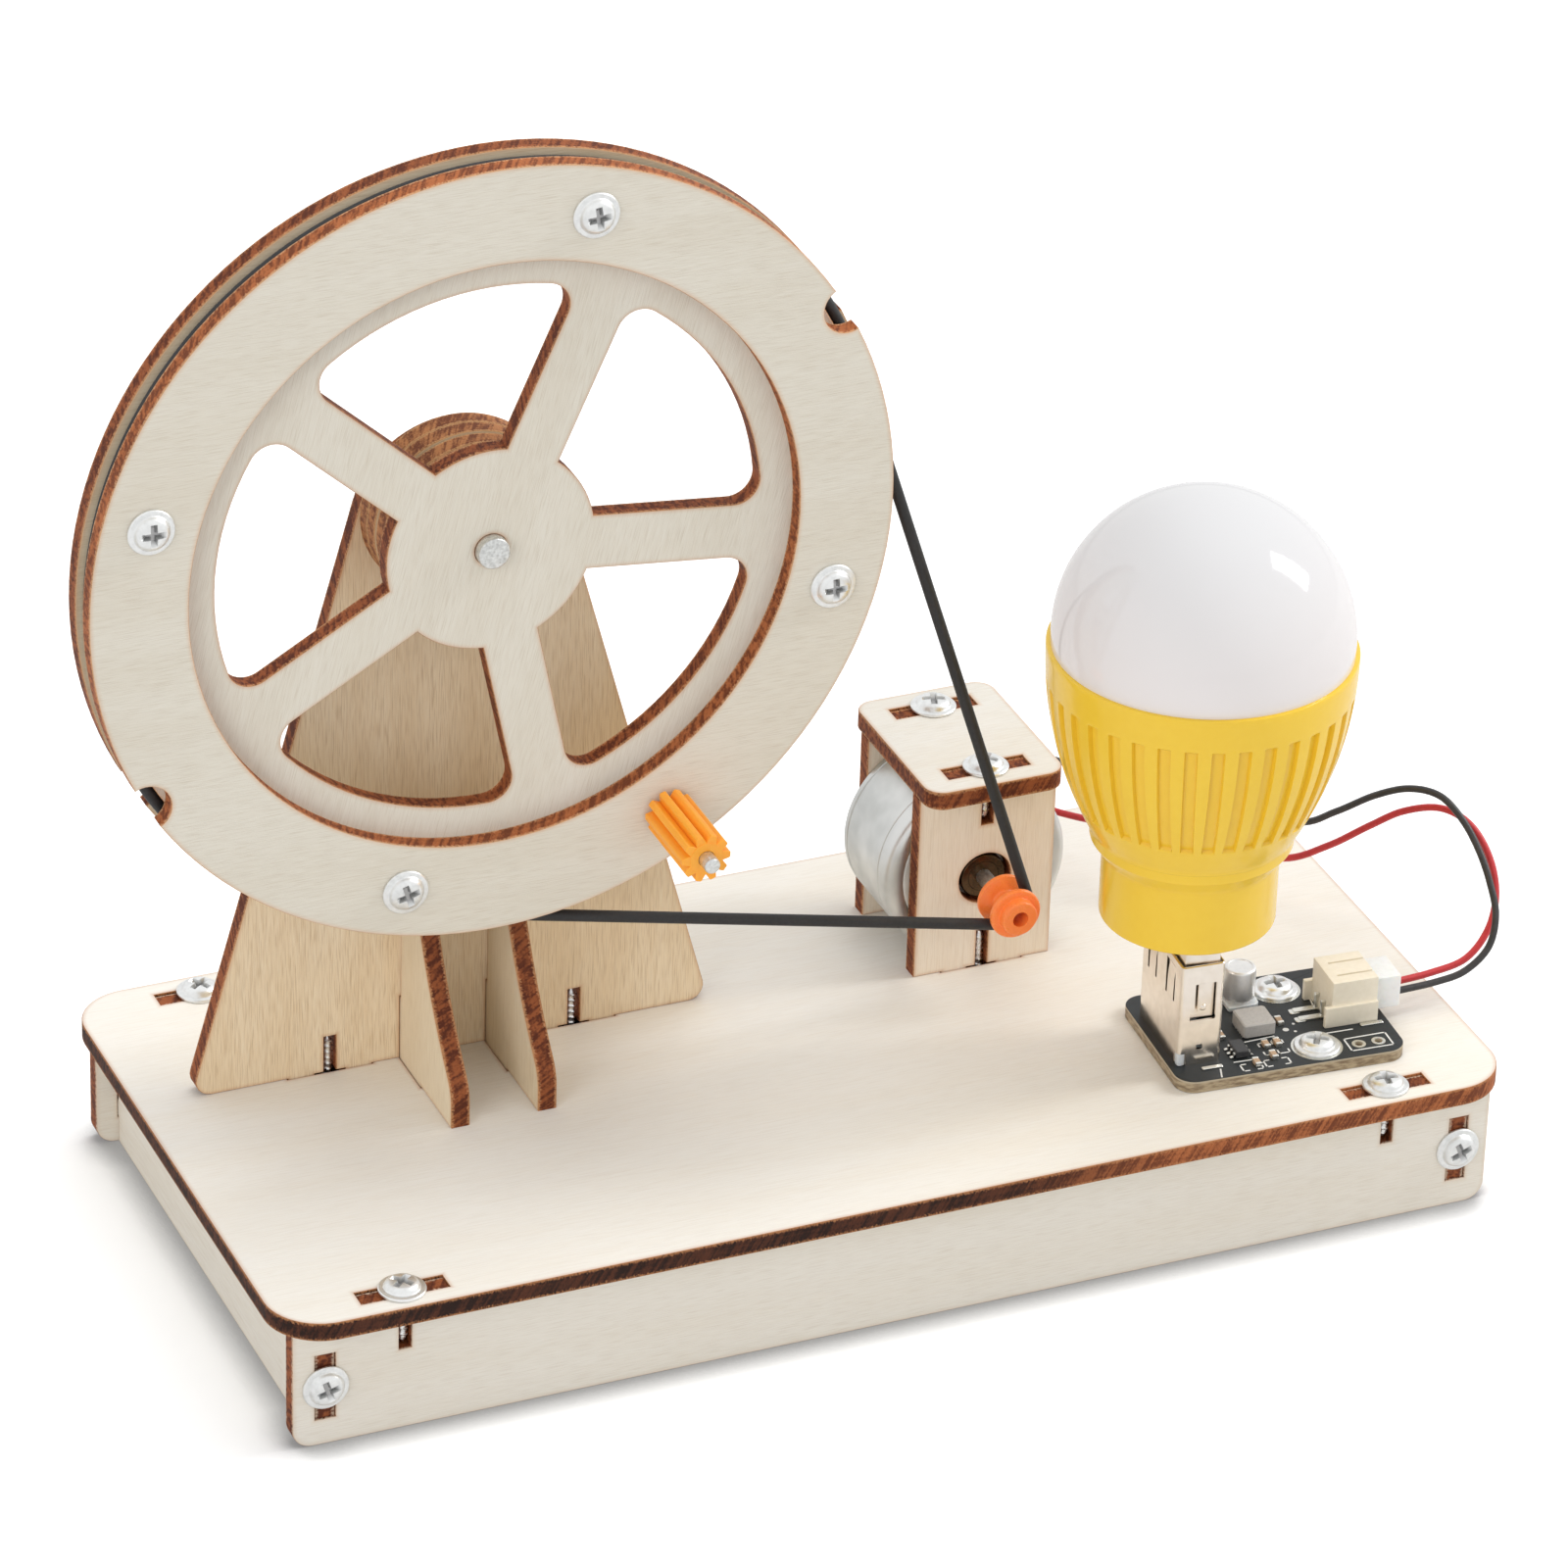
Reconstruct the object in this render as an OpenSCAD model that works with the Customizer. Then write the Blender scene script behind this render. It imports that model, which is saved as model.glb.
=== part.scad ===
// Hand crank generator of laser-cut plywood: a spoked wheel drives a small motor by a belt,
// and the motor lights a bulb that stands in a socket on a circuit board.
// Millimetres, Z up, X along the base, Y away from the crank. Origin under the middle of the base.

/* [Plywood] */
// Thickness of every plywood piece
ply = 2.5; // [2:0.1:3]
// Gap between a tab and its slot, each side
slot_gap = 0.05; // [0.02:0.01:0.15]
// How far a tab's end stays below the face that it comes through
tab_recess = 0.3; // [0.1:0.1:0.8]

/* [Slot joint] */
// Length of a slot that two tabs and a screw share
joint_len = 11; // [9:0.5:14]
// Length of a side rail's slot in the front and rear rails
rail_joint_len = 9; // [8:0.5:10]
// Open middle between the two tabs, where the screw passes
joint_mid = 4; // [3:0.5:5]
// Depth of the narrow slot that the screw bites into
bite_depth = 5; // [4.5:0.5:7]

/* [Screws] */
// Diameter of a screw's shank, at the core of its thread
screw_d = 1.5; // [1.4:0.1:2.4]
// Diameter of a screw's washer head
screw_head_d = 5.8; // [5:0.1:6.2]
// Height of a screw's head
screw_head_h = 1.8; // [1.2:0.1:2.4]
// Gap round a screw's shank
screw_gap = 0.05; // [0.02:0.01:0.1]
// Length of shank left free at the end of a bite slot or hole
screw_tip_gap = 0.4; // [0.2:0.1:1]

/* [Base] */
// Length of the base plate
base_len = 160; // [150:1:190]
// Depth of the base plate, front to back
base_dep = 78.5; // [76:0.5:100]
// Height of the rails under the plate
rail_h = 16; // [14:0.5:24]
// Corner radius of the base plate
base_corner_r = 7; // [2:0.5:10]
// How far the plate stands out past the front and rear rails
rail_inset = 2.6; // [1:0.1:5]
// How far the plate stands out past the ends of the front and rear rails
rail_end_inset = 2; // [1:0.5:3]
// Distance from the end of the plate to a side rail's outer face
side_rail_inset = 4.8; // [4.5:0.1:10]
// Distance of the plate's slots from the middle of the base
plate_slot_x = 64; // [50:1:66]
// Radius of the rails' lower corners
rail_corner_r = 2.5; // [1:0.5:3]

/* [Tower] */
// Distance of the tower's middle from the left end of the base plate
tower_end = 40.6; // [38:0.1:44]
// How far the axle stands to the left of the tower's middle
axle_side = 0.8; // [0:0.1:2]
// Front face of the tower plate
tower_y = 12.5; // [10:0.5:20]
// Radius of the tower plate's lower corners
tower_foot_r = 2; // [1:0.5:3]
// Width of the tower plate at the base
tower_w = 67.5; // [60:0.5:72]
// Radius of the tower's round top
tower_top_r = 12.8; // [9:0.1:14]
// How far the middle of the tower's round top lies below the axle
tower_top_drop = 2.7; // [0:0.1:4]
// Height of the axle above the base plate
axle_h = 75.8; // [70:0.2:90]
// Distance of the tower's screws from its middle
tower_screw_x = 15.9; // [14:0.1:22]
// Distance of each gusset from the tower's middle
gusset_x = 5.6; // [4:0.1:7.5]
// Length of a gusset's foot, out from the tower
gusset_foot = 17.3; // [14:0.1:20]
// Height of the blunt toe of a gusset
gusset_toe_h = 5; // [4:0.5:7]
// Radius of the round above the toe
gusset_toe_r = 5; // [3:0.5:6]
// Height of a gusset against the tower
gusset_h = 32; // [26:1:36]
// Width of a gusset at its top
gusset_top = 3; // [2:0.5:5]
// Radius of the hollow curve of a gusset's front
gusset_curve_r = 60; // [45:5:120]
// Height of the tab that a gusset has through the tower
gusset_tab_h = 8.7; // [6:0.1:12]
// Length of the tab that a gusset has through the base, out from the tower
gusset_tab_len = 7.3; // [5:0.1:9]

/* [Wheel] */
// Outer radius of the two rings
wheel_r = 50; // [46:0.5:52]
// Inner radius of the two rings
ring_inner_r = 38; // [36.5:0.5:39]
// Radius of the spoked disc, which is the floor of the belt groove
groove_r = 48; // [46:0.5:48.5]
// Outer radius of the windows between the spokes
window_r = 34; // [30:0.5:36]
// Radius of the hub
hub_r = 13; // [12:0.5:15]
// Number of spokes
spokes = 5; // [4:1:6]
// Width of a spoke
spoke_w = 7; // [5:0.5:9]
// Radius in a window's outer corners
window_corner_r = 3; // [1:0.5:4]
// Radius on which the ring screws and the crank pin stand
pin_circle_r = 44; // [42.5:0.1:44.5]
// Radius of a belt notch in the rings
notch_r = 3; // [2:0.2:3.6]
// How far the wheel is turned from its notches lying level
wheel_turn = 30; // [0:1:90]
// Radius of the discs between wheel and tower
spacer_r = 11.5; // [9:0.5:12.5]
// Number of discs that are fixed to the tower
tower_discs = 2; // [1:1:3]
// Running gap between the turning and the fixed discs
disc_gap = 0.5; // [0.3:0.1:1]

/* [Axle and crank] */
// Diameter of the axle
axle_d = 4; // [3:0.1:5]
// Running gap round the axle
axle_gap = 0.05; // [0.02:0.01:0.1]
// Length of the axle in front of the hub
axle_front = 1.3; // [0.5:0.1:3]
// Diameter of the collar behind the tower
collar_d = 8; // [7:0.5:10]
// Length of the collar
collar_len = 3; // [2:0.5:5]
// Diameter of the crank pin
pin_d = 2; // [1.5:0.1:2.4]
// Length of the toothed grip
grip_len = 11.8; // [10:0.1:16]
// Outer diameter of the grip
grip_d = 6.2; // [5.6:0.1:8]
// Diameter of the grip at the foot of its teeth
grip_root_d = 4.2; // [3.6:0.1:5]
// Number of teeth of the grip
grip_teeth = 10; // [8:1:12]
// Gap between the grip and the wheel
grip_gap = 0.4; // [0.3:0.1:1]
// Length of the pin past the grip
pin_tip = 2; // [1:0.1:3]

/* [Motor mount] */
// Distance of the motor mount's middle from the right end of the base plate
mount_end = 50.7; // [46:0.1:53]
// Front face of the mount's front plate
mount_y = 7.9; // [7:0.1:10]
// Width of the mount
mount_w = 18.4; // [18:0.2:22]
// Height of the mount's front and rear plates
mount_h = 25.2; // [25:0.2:30]
// Space between the front and rear plates
mount_gap = 13.5; // [12.5:0.1:16]
// How far the top plate stands out past the front and rear plates
mount_overhang = 3; // [1:0.1:4]
// Corner radius of the mount's top plate
mount_corner_r = 2.5; // [1:0.5:4]
// Height of the motor's axis above the base plate
motor_h = 12.5; // [12.5:0.1:14]
// Diameter of the hole for the motor's boss
boss_hole_d = 7; // [6.6:0.1:8]

/* [Motor] */
// Diameter of the motor's can
can_d = 24.4; // [22:0.2:24.4]
// Wall of the can
can_wall = 0.8; // [0.6:0.1:1.2]
// Bevel of the can's front edge
can_edge = 0.7; // [0.3:0.1:0.7]
// Gap between the motor and the mount's plates
motor_gap = 0.1; // [0.05:0.05:0.3]
// Diameter of the boss that holds a bearing
boss_d = 6; // [5.6:0.1:6.4]
// Diameter of the motor's shaft
shaft_d = 2; // [1.5:0.1:2.2]
// Running gap round the shaft
shaft_gap = 0.03; // [0.02:0.01:0.08]
// Outer diameter of a bearing
bearing_d = 4; // [3.4:0.1:4.4]
// Thickness of the end cap
cap_t = 1.2; // [1:0.1:2]
// Thickness of the magnet ring
magnet_t = 2; // [1.5:0.1:2.5]
// Air gap between the magnet and the armature
air_gap = 0.6; // [0.4:0.1:1]

/* [Pulley and belt] */
// Radius of the pulley at the floor of its groove
pulley_root_r = 1.6; // [1.5:0.1:2.4]
// Radius of the pulley's flanges
pulley_flange_r = 3.3; // [3.2:0.1:4.5]
// Half the width of the groove's floor
pulley_half_floor = 1; // [0.95:0.05:1.2]
// Diameter of the belt
belt_d = 1.5; // [1.2:0.1:1.6]
// Gap between the belt and the floor of a groove
belt_gap = 0.3; // [0.2:0.05:0.5]

/* [Circuit board] */
// Distance of the board's middle from the right end of the base plate
board_end = 24.8; // [24:0.1:28]
// Distance of the board's middle from the front edge of the base plate
board_front = 19.9; // [19.8:0.1:22]
// Turn of the board on the base, in degrees
board_turn = -4; // [-8:1:4]
// Length of the board
board_len = 30; // [30:0.5:34]
// Depth of the board
board_dep = 21; // [20:0.5:24]
// Thickness of the board
board_t = 1.6; // [1:0.1:2]
// Corner radius of the board
board_corner_r = 2.5; // [1:0.5:4]
// Place of the board's screws along it
board_screw_x = 4.2; // [4:0.1:5]
// Distance of the board's screws from its middle line
board_screw_y = 6.9; // [6.8:0.1:7.2]
// Place of the socket along the board
socket_x = -11.2; // [-11.5:0.1:-11]

/* [Socket and plug] */
// Inner width of the socket's shell
socket_w = 12.5; // [12.3:0.1:12.8]
// Inner thickness of the socket's shell
socket_t = 5.1; // [4.9:0.1:5.4]
// Wall of the socket's and the plug's shells
shell_wall = 0.3; // [0.2:0.05:0.4]
// Height of the socket above the board
socket_h = 14; // [13:0.5:16]
// Thickness of the plastic block at the foot of the socket
socket_floor = 3; // [2:0.5:4]
// Gap between the plug and the socket's walls
plug_gap = 0.25; // [0.2:0.05:0.3]
// Thickness of the socket's tongue
tongue_t = 1.8; // [1.6:0.1:1.9]
// Height of the tongue above the socket's block
tongue_h = 8.5; // [7:0.5:9]
// Length of the plug below the bulb
plug_len = 11.8; // [10:0.1:12]
// Height of the bulb's foot above the socket
bulb_lift = 4; // [3:0.1:4.5]

/* [Bulb] */
// Radius of the bulb's neck
neck_r = 10.8; // [10:0.1:12]
// Height of the neck
neck_h = 8.8; // [6:0.2:10]
// Radius of the lip between the neck and the round side
lip_r = 12.4; // [12:0.1:13.5]
// Height of the lip's lower edge above the foot
lip_low = 10.9; // [10.2:0.1:11.5]
// Height of the lip's upper edge above the foot
lip_high = 12.1; // [11.7:0.1:13]
// Radius of the bulb's rim
rim_r = 18.8; // [17.5:0.1:21]
// Height of the bulb's body, foot to rim
bulb_body_h = 37; // [34:0.5:40]
// Wall of the bulb's body
bulb_wall = 1.6; // [1.4:0.1:2]
// Radius of the round curve of the body's side
bulb_side_r = 50; // [40:1:80]
// Number of grooves round the body
grooves = 36; // [24:1:36]
// Width of a groove
groove_w = 1.6; // [1.2:0.1:2]
// Depth of a groove
groove_t = 0.6; // [0.3:0.1:0.8]
// Height of a groove's lower end above the foot
groove_low = 16.5; // [14:0.5:20]
// Height of a groove's upper end above the foot
groove_high = 32.6; // [30:0.1:33.5]
// Wall of the dome
dome_wall = 1.2; // [0.8:0.1:1.6]
// Inset of the dome's foot inside the rim
dome_inset = 0.5; // [0.2:0.1:0.8]
// Straight skirt under the round of the dome
dome_skirt = 1.3; // [0.5:0.1:2]
// Thickness of the lamp board
lamp_board_t = 1.2; // [0.8:0.1:1.6]
// Number of lamp chips round the lamp board
lamp_chip_count = 8; // [6:1:10]

/* [Wires] */
// Diameter of a wire
wire_d = 0.9; // [0.7:0.1:1.2]

/* [Hidden] */
$fn = 64;

wood = "#ead9bd";
zinc = "#c9ccd0";
steel = "#b4b7ba";
orange = "#f58a3c";
yellow = "#f4c63a";

base_h = rail_h + ply;
tower_x = tower_end - base_len / 2;
axle_x = tower_x - axle_side;
mount_x = base_len / 2 - mount_end;
board_x = base_len / 2 - board_end;
board_y = board_front - base_dep / 2;
tab_len = ply - tab_recess;
rail_len = base_len - 2 * rail_end_inset;
rail_mid_y = base_dep / 2 - rail_inset - ply / 2;
side_rail_x = base_len / 2 - side_rail_inset - ply / 2;
side_rail_len = 2 * rail_mid_y - ply;
joint_shank = ply + bite_depth - screw_tip_gap;

axle_z = base_h + axle_h;
disc_back_y = tower_y - tower_discs * ply - disc_gap;
wheel_back_y = disc_back_y - ply;
wheel_front_y = wheel_back_y - 3 * ply;
belt_y = wheel_front_y + 1.5 * ply;
press_gap = 0.01;
crank_angle = wheel_turn - 90;
axle_back_y = tower_y + ply + disc_gap + collar_len;

motor_z = base_h + motor_h;
mount_rear_y = mount_y + ply + mount_gap;
mount_mid_y = mount_y + ply + mount_gap / 2;
mount_dep = mount_gap + 2 * ply + 2 * mount_overhang;
motor_front_y = mount_y + ply + motor_gap;
motor_back_y = mount_rear_y - motor_gap;
can_r = can_d / 2;
magnet_out_r = can_r - can_wall - press_gap;
armature_r = magnet_out_r - magnet_t - air_gap;
boss_len = ply - 0.4;
cap_front_y = motor_back_y - cap_t;
brush_t = 0.3;
brush_len = 2.8;
brush_w = 3;
brush_gap = 0.15;
pole_w = 2.4;
pole_tip_t = 1.2;
pole_hub_r = 3;
winding_t = 1.3;
winding_end_t = 0.5;
winding_gap = 0.4;
magnet_inset = 1.4;
magnet_past_core = 0.6;
commutator_r = 2.4;
commutator_len = 2.6;
commutator_back_y = cap_front_y - 0.5;
core_len = 5;
core_back_y = commutator_back_y - commutator_len - 0.6;
terminal_r = can_r - can_wall - 1;
terminal_angle = 18;
terminal_t = 0.5;
terminal_w = 1.8;
terminal_len = 3.2;

pulley_half = 2.3;
pulley_boss_len = 1.3;
pulley_boss_r = 2.3;
shaft_front_y = belt_y - 0.8;

wheel_belt_r = groove_r + belt_gap + belt_d / 2;
pulley_belt_r = pulley_root_r + belt_gap + belt_d / 2;
belt_dx = mount_x - axle_x;
belt_dz = motor_z - axle_z;
belt_span = norm([belt_dx, belt_dz]);
belt_slope = atan2(belt_dz, belt_dx);
belt_open = acos((wheel_belt_r - pulley_belt_r) / belt_span);
// The straight runs are a hair thinner, so that their ends lie inside the arcs
belt_lap = 0.2;
belt_thin = 0.08;
belt_run = sqrt(pow(belt_span, 2) - pow(wheel_belt_r - pulley_belt_r, 2));

board_z = base_h + board_t;
socket_top_z = board_z + socket_h;
foot_z = socket_top_z + bulb_lift;
plug_w = socket_w - 2 * plug_gap;
plug_t = socket_t - 2 * plug_gap;
plug_root = 6;
tongue_gap = 0.2;
tongue_y = tongue_t / 2 + tongue_gap;
rim_z = foot_z + bulb_body_h;
side_mid = [(lip_r + rim_r) / 2, (lip_high + bulb_body_h) / 2];
side_chord = [rim_r - lip_r, bulb_body_h - lip_high];
side_drop = sqrt(pow(bulb_side_r, 2) - pow(norm(side_chord) / 2, 2));
side_centre = side_mid + side_drop * [-side_chord[1], side_chord[0]] / norm(side_chord);
rim_step = 1.6;
rim_lip = 0.6;
rim_seat_r = rim_r - bulb_wall + rim_lip;
lamp_gap = 0.1;
lamp_z = rim_z - rim_step;
lamp_ring_r = 9;
lamp_chip_w = 2.8;
lamp_chip_len = 3.5;
lamp_chip_h = 0.8;
lead_d = 1;
lead_x = 3;

board_screw_past = 1.4;
coil_place = [-1.8, -1];
coil_w = 4.2;
coil_h = 2;
coil_corner_r = 0.4;
coil_pad = 0.9;
pad_t = 0.2;
cap_place = [-1.2, 5.6];
cap_d = 4;
cap_h = 5.2;
cap_foot_out = 0.1;
cap_foot_h = 0.8;
cap_crimp = 0.25;
cap_crimp_z = 1.5;
chip_place = [-5.6, -5.6];
chip_w = 1.7;
chip_len = 2.9;
chip_h = 1.1;
leg_pitch = 0.95;
leg_len = 0.6;
leg_w = 0.4;
leg_t = 0.3;
resistor_places = [[-1.8, -5], [-0.3, -5], [-1.8, -7.6], [-4.4, -8.6], [1.8, -0.4], [-6.4, -1.6]];
resistor_w = 0.8;
resistor_len = 1.6;
resistor_h = 0.6;
in_hole_place = [9.4, -7.8];
in_hole_pitch = 2.6;
in_hole_d = 1;

shell_corner_r = 0.6;
spring_slit = 0.4;
end_spring_w = 2.4;
end_spring_len = 5.4;
end_spring_low = 7.8;
end_spring_slot = 0.8;
latch_hole = 1;
latch_drop = 3.6;
side_spring_x = 3;
side_spring_w = 2;
side_spring_len = 5;
side_spring_high = 1;

header_x = 10.7;
header_y = 0.4;
header_len = 6;
header_w = 7.6;
header_block_w = 6.6;
wing_len = 7;
wing_back = 1;
wing_lap = 0.2;
wing_h = 2.8;
slit_w = 0.3;
slit_t = 0.4;
header_h = 6;
header_wall = 0.7;
header_back = 1.2;
pin_pitch = 2;
pin_z = 2;
contact_w = 0.5;
contact_len = 3.2;
foot_len = 3.3;
foot_w = 0.9;
foot_t = 0.3;
contact_room = 0.1;
wire_plug_out = 3.4;
wire_plug_gap = 0.1;
plug_room = 0.4;

// The wires' ends at the motor's terminals and at the plug
wire_end_gap = 0.05;
terminal_x = mount_x + terminal_r * cos(terminal_angle);
terminal_rise = terminal_r * sin(terminal_angle);
terminal_end_y = motor_back_y + terminal_len + wire_end_gap;
plug_face_x = header_x + header_len / 2 + wire_plug_out;

function plug_place(y) = [
    board_x + (plug_face_x + wire_end_gap) * cos(board_turn) - (header_y + y) * sin(board_turn),
    board_y + (plug_face_x + wire_end_gap) * sin(board_turn) + (header_y + y) * cos(board_turn),
    base_h + board_t + pin_z];

// The wires' routes from the terminals to the plug, in heights above the base plate
red_bends = [[39.6, 29, 9.3], [41, 30.7, 9.1], [43.4, 30.6, 8.8], [48, 25.8, 8.3],
    [51, 21.4, 8.9], [55.5, 17.4, 9.1], [63.5, 12.6, 7.6], [70.8, 8.2, 6.7], [75.2, 4.5, 9.7],
    [78.8, 1, 13.7], [82, -2, 16.9], [85.4, -5.4, 18.5], [88, -8.6, 17.3], [89.3, -11.8, 14.1],
    [89, -14.6, 10.3], [87, -16.8, 6.9], [83.4, -18.2, 4.3], [78.4, -18.7, 3.6]];
black_bends = [[39.6, 29.2, 15.6], [41.2, 31.6, 15.4], [44.4, 32.4, 14.7], [50.8, 28.5, 13.2],
    [57.6, 21.8, 12.3], [65, 14.6, 11.4], [72.2, 7.4, 12.1], [75.5, 3.6, 15.1], [78.8, 0, 18.7],
    [82, -3, 20.7], [84.8, -6, 20.7], [86.6, -9, 18.5], [87.6, -12, 15.5], [87.8, -15, 12.5],
    [87.4, -17.8, 9.5], [85.6, -19.8, 6.4], [82, -20.8, 4.3], [78, -20.9, 3.6]];

function route(rise, bends, y) = concat(
    [[terminal_x, terminal_end_y, motor_z + rise]],
    [for (p = bends) p + [0, 0, base_h]],
    [plug_place(y)]);

route_steps = 2;
wire_sides = 8;

// Places and turns

module at_front(y) translate([0, y, 0]) rotate([90, 0, 0]) children();

module plate_upright(y) {
    at_front(y + ply) linear_extrude(ply) children();
}

module on_wheel(y) {
    translate([axle_x, y, axle_z]) rotate([90, 0, 0]) rotate(wheel_turn) children();
}

module round_y(x, z, y0, y1, d) {
    translate([x, y1, z]) rotate([90, 0, 0]) cylinder(h = y1 - y0, d = d);
}

module ring_y(x, z, y0, y1, r) {
    translate([x, y1, z]) rotate([90, 0, 0]) linear_extrude(y1 - y0) children();
}

module on_board() {
    translate([board_x, board_y, base_h]) rotate(board_turn) children();
}

module at_socket() {
    on_board() translate([socket_x, 0, 0]) rotate(90) children();
}

// Shared shapes

module round_rect(w, d, r) {
    square([w - 2 * r, d], center = true);
    square([w, d - 2 * r], center = true);
    for (x = [-1, 1], y = [-1, 1]) translate([x * (w / 2 - r), y * (d / 2 - r)]) circle(r);
}

// Two tabs that stand up from the line y = 0, and the screw's narrow slot below it
module joint_tabs(len) {
    each_tab = (len - joint_mid) / 2 - slot_gap;
    for (side = [-1, 1])
        translate([side * (joint_mid + each_tab) / 2 - each_tab / 2, -slot_gap])
            square([each_tab, tab_len + slot_gap]);
}

module bite_slot() {
    w = screw_d + 2 * screw_gap;
    translate([-w / 2, -bite_depth]) square([w, bite_depth + ply]);
}

module joint_slot(len) {
    square([len, ply + 2 * slot_gap], center = true);
}

// A screw whose head sits on z = 0 and whose shank goes down
module screw(shank) {
    head_r = screw_head_d / 2;
    rotate_extrude()
        polygon([[0, -shank], [screw_d / 4, -shank], [screw_d / 2, -shank + 1], [screw_d / 2, 0],
            [head_r, 0], [head_r, 0.25 * screw_head_h], [0.8 * head_r, 0.5 * screw_head_h],
            [0.55 * head_r, 0.9 * screw_head_h], [0, screw_head_h]]);
}

// Base

module base_top() {
    color(wood) translate([0, 0, rail_h]) linear_extrude(ply) difference() {
        round_rect(base_len, base_dep, base_corner_r);
        for (x = [-1, 1], y = [-1, 1])
            translate([x * plate_slot_x, y * rail_mid_y]) joint_slot(joint_len);
        for (x = [-1, 1])
            translate([tower_x + x * tower_screw_x, tower_y + ply / 2]) joint_slot(joint_len);
        for (x = [-1, 1])
            translate([tower_x + x * gusset_x, tower_y - gusset_tab_len / 2 + ply / 2])
                square([ply + 2 * slot_gap, gusset_tab_len + ply + 2 * slot_gap], center = true);
        for (y = [mount_y, mount_rear_y]) translate([mount_x, y + ply / 2]) joint_slot(joint_len);
        translate([board_x, board_y]) rotate(board_turn)
            for (y = [-1, 1]) translate([board_screw_x, y * board_screw_y]) circle(screw_d / 2 + screw_gap);
    }
}

module long_rail(y) {
    color(wood) plate_upright(y - ply / 2) difference() {
        union() {
            translate([-rail_len / 2, rail_corner_r]) square([rail_len, rail_h - rail_corner_r]);
            translate([-rail_len / 2 + rail_corner_r, 0]) square([rail_len - 2 * rail_corner_r, rail_h]);
            for (x = [-1, 1]) translate([x * (rail_len / 2 - rail_corner_r), rail_corner_r]) circle(rail_corner_r);
            for (x = [-1, 1]) translate([x * plate_slot_x, rail_h]) joint_tabs(joint_len);
        }
        for (x = [-1, 1]) translate([x * plate_slot_x, rail_h]) bite_slot();
        for (x = [-1, 1]) translate([x * side_rail_x, rail_h / 2]) rotate(90) joint_slot(rail_joint_len);
    }
}

module front_rail() long_rail(-rail_mid_y);

module rear_rail() long_rail(rail_mid_y);

module side_rail(x) {
    color(wood) translate([x - ply / 2, 0, 0]) rotate([90, 0, 90]) linear_extrude(ply) difference() {
        union() {
            translate([-side_rail_len / 2, 0]) square([side_rail_len, rail_h]);
            for (end = [-1, 1])
                translate([end * side_rail_len / 2, rail_h / 2]) rotate(-end * 90) joint_tabs(rail_joint_len);
        }
        for (end = [-1, 1]) translate([end * side_rail_len / 2, rail_h / 2]) rotate(-end * 90) bite_slot();
    }
}

module left_rail() side_rail(-side_rail_x);

module right_rail() side_rail(side_rail_x);

module base_top_screws() {
    color(zinc) for (x = [-1, 1], y = [-1, 1])
        translate([x * plate_slot_x, y * rail_mid_y, base_h]) screw(joint_shank);
}

module rail_screws() {
    color(zinc) for (x = [-1, 1], y = [-1, 1])
        translate([x * side_rail_x, y * (rail_mid_y + ply / 2), rail_h / 2]) rotate([-y * 90, 0, 0])
            screw(joint_shank);
}

// Tower

tower_top_h = axle_h - tower_top_drop;
tower_side = norm([tower_w / 2, tower_top_h]);
tower_lean = atan2(tower_top_h, tower_w / 2) + asin(tower_top_r / tower_side);
tower_foot_mid = [tower_w / 2 - tower_foot_r / tan(tower_lean / 2), tower_foot_r];
tower_foot_steps = 6;
tower_top_steps = 14;
tower_right = concat(
    [for (k = [0 : tower_foot_steps]) let (a = -90 + (180 - tower_lean) * k / tower_foot_steps)
        tower_foot_mid + tower_foot_r * [cos(a), sin(a)]],
    [for (k = [0 : tower_top_steps - 1]) let (a = 90 - tower_lean * (1 - k / tower_top_steps))
        [0, tower_top_h] + tower_top_r * [cos(a), sin(a)]]);
tower_left = [for (k = [len(tower_right) - 1 : -1 : 0]) [-tower_right[k][0], tower_right[k][1]]];

module tower_plate() {
    color(wood) translate([tower_x, 0, base_h]) plate_upright(tower_y) difference() {
        union() {
            polygon(concat(tower_right, [[0, tower_top_h + tower_top_r]], tower_left));
            for (x = [-1, 1]) translate([x * tower_screw_x, 0]) rotate(180) joint_tabs(joint_len);
        }
        for (x = [-1, 1]) translate([x * tower_screw_x, 0]) rotate(180) bite_slot();
        for (x = [-1, 1])
            translate([x * gusset_x - ply / 2 - slot_gap, -ply])
                square([ply + 2 * slot_gap, ply + gusset_tab_h + slot_gap]);
        translate([-axle_side, axle_h]) circle(axle_d / 2 + axle_gap);
    }
}

gusset_low = [gusset_foot, gusset_toe_h];
gusset_high = [gusset_top, gusset_h];
gusset_chord = gusset_high - gusset_low;
gusset_rise = sqrt(pow(gusset_curve_r, 2) - pow(norm(gusset_chord) / 2, 2));
gusset_centre = (gusset_low + gusset_high) / 2
    + gusset_rise * [gusset_chord[1], -gusset_chord[0]] / norm(gusset_chord);

gusset_round = [gusset_foot - gusset_toe_r, gusset_centre[1]
    - sqrt(pow(gusset_curve_r + gusset_toe_r, 2) - pow(gusset_foot - gusset_toe_r - gusset_centre[0], 2))];
gusset_out = gusset_centre - gusset_round;
gusset_end = gusset_high - gusset_centre;
toe_turn = atan2(gusset_out[1], gusset_out[0]);
hollow_from = toe_turn + 180;
hollow_turn = atan2(gusset_end[1], gusset_end[0]) + 360 - hollow_from;
toe_steps = 6;
hollow_steps = 12;
gusset_front = concat(
    [for (k = [0 : toe_steps]) let (a = toe_turn * k / toe_steps) gusset_round + gusset_toe_r * [cos(a), sin(a)]],
    [for (k = [1 : hollow_steps]) let (a = hollow_from + hollow_turn * k / hollow_steps)
        gusset_centre + gusset_curve_r * [cos(a), sin(a)]]);

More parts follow.
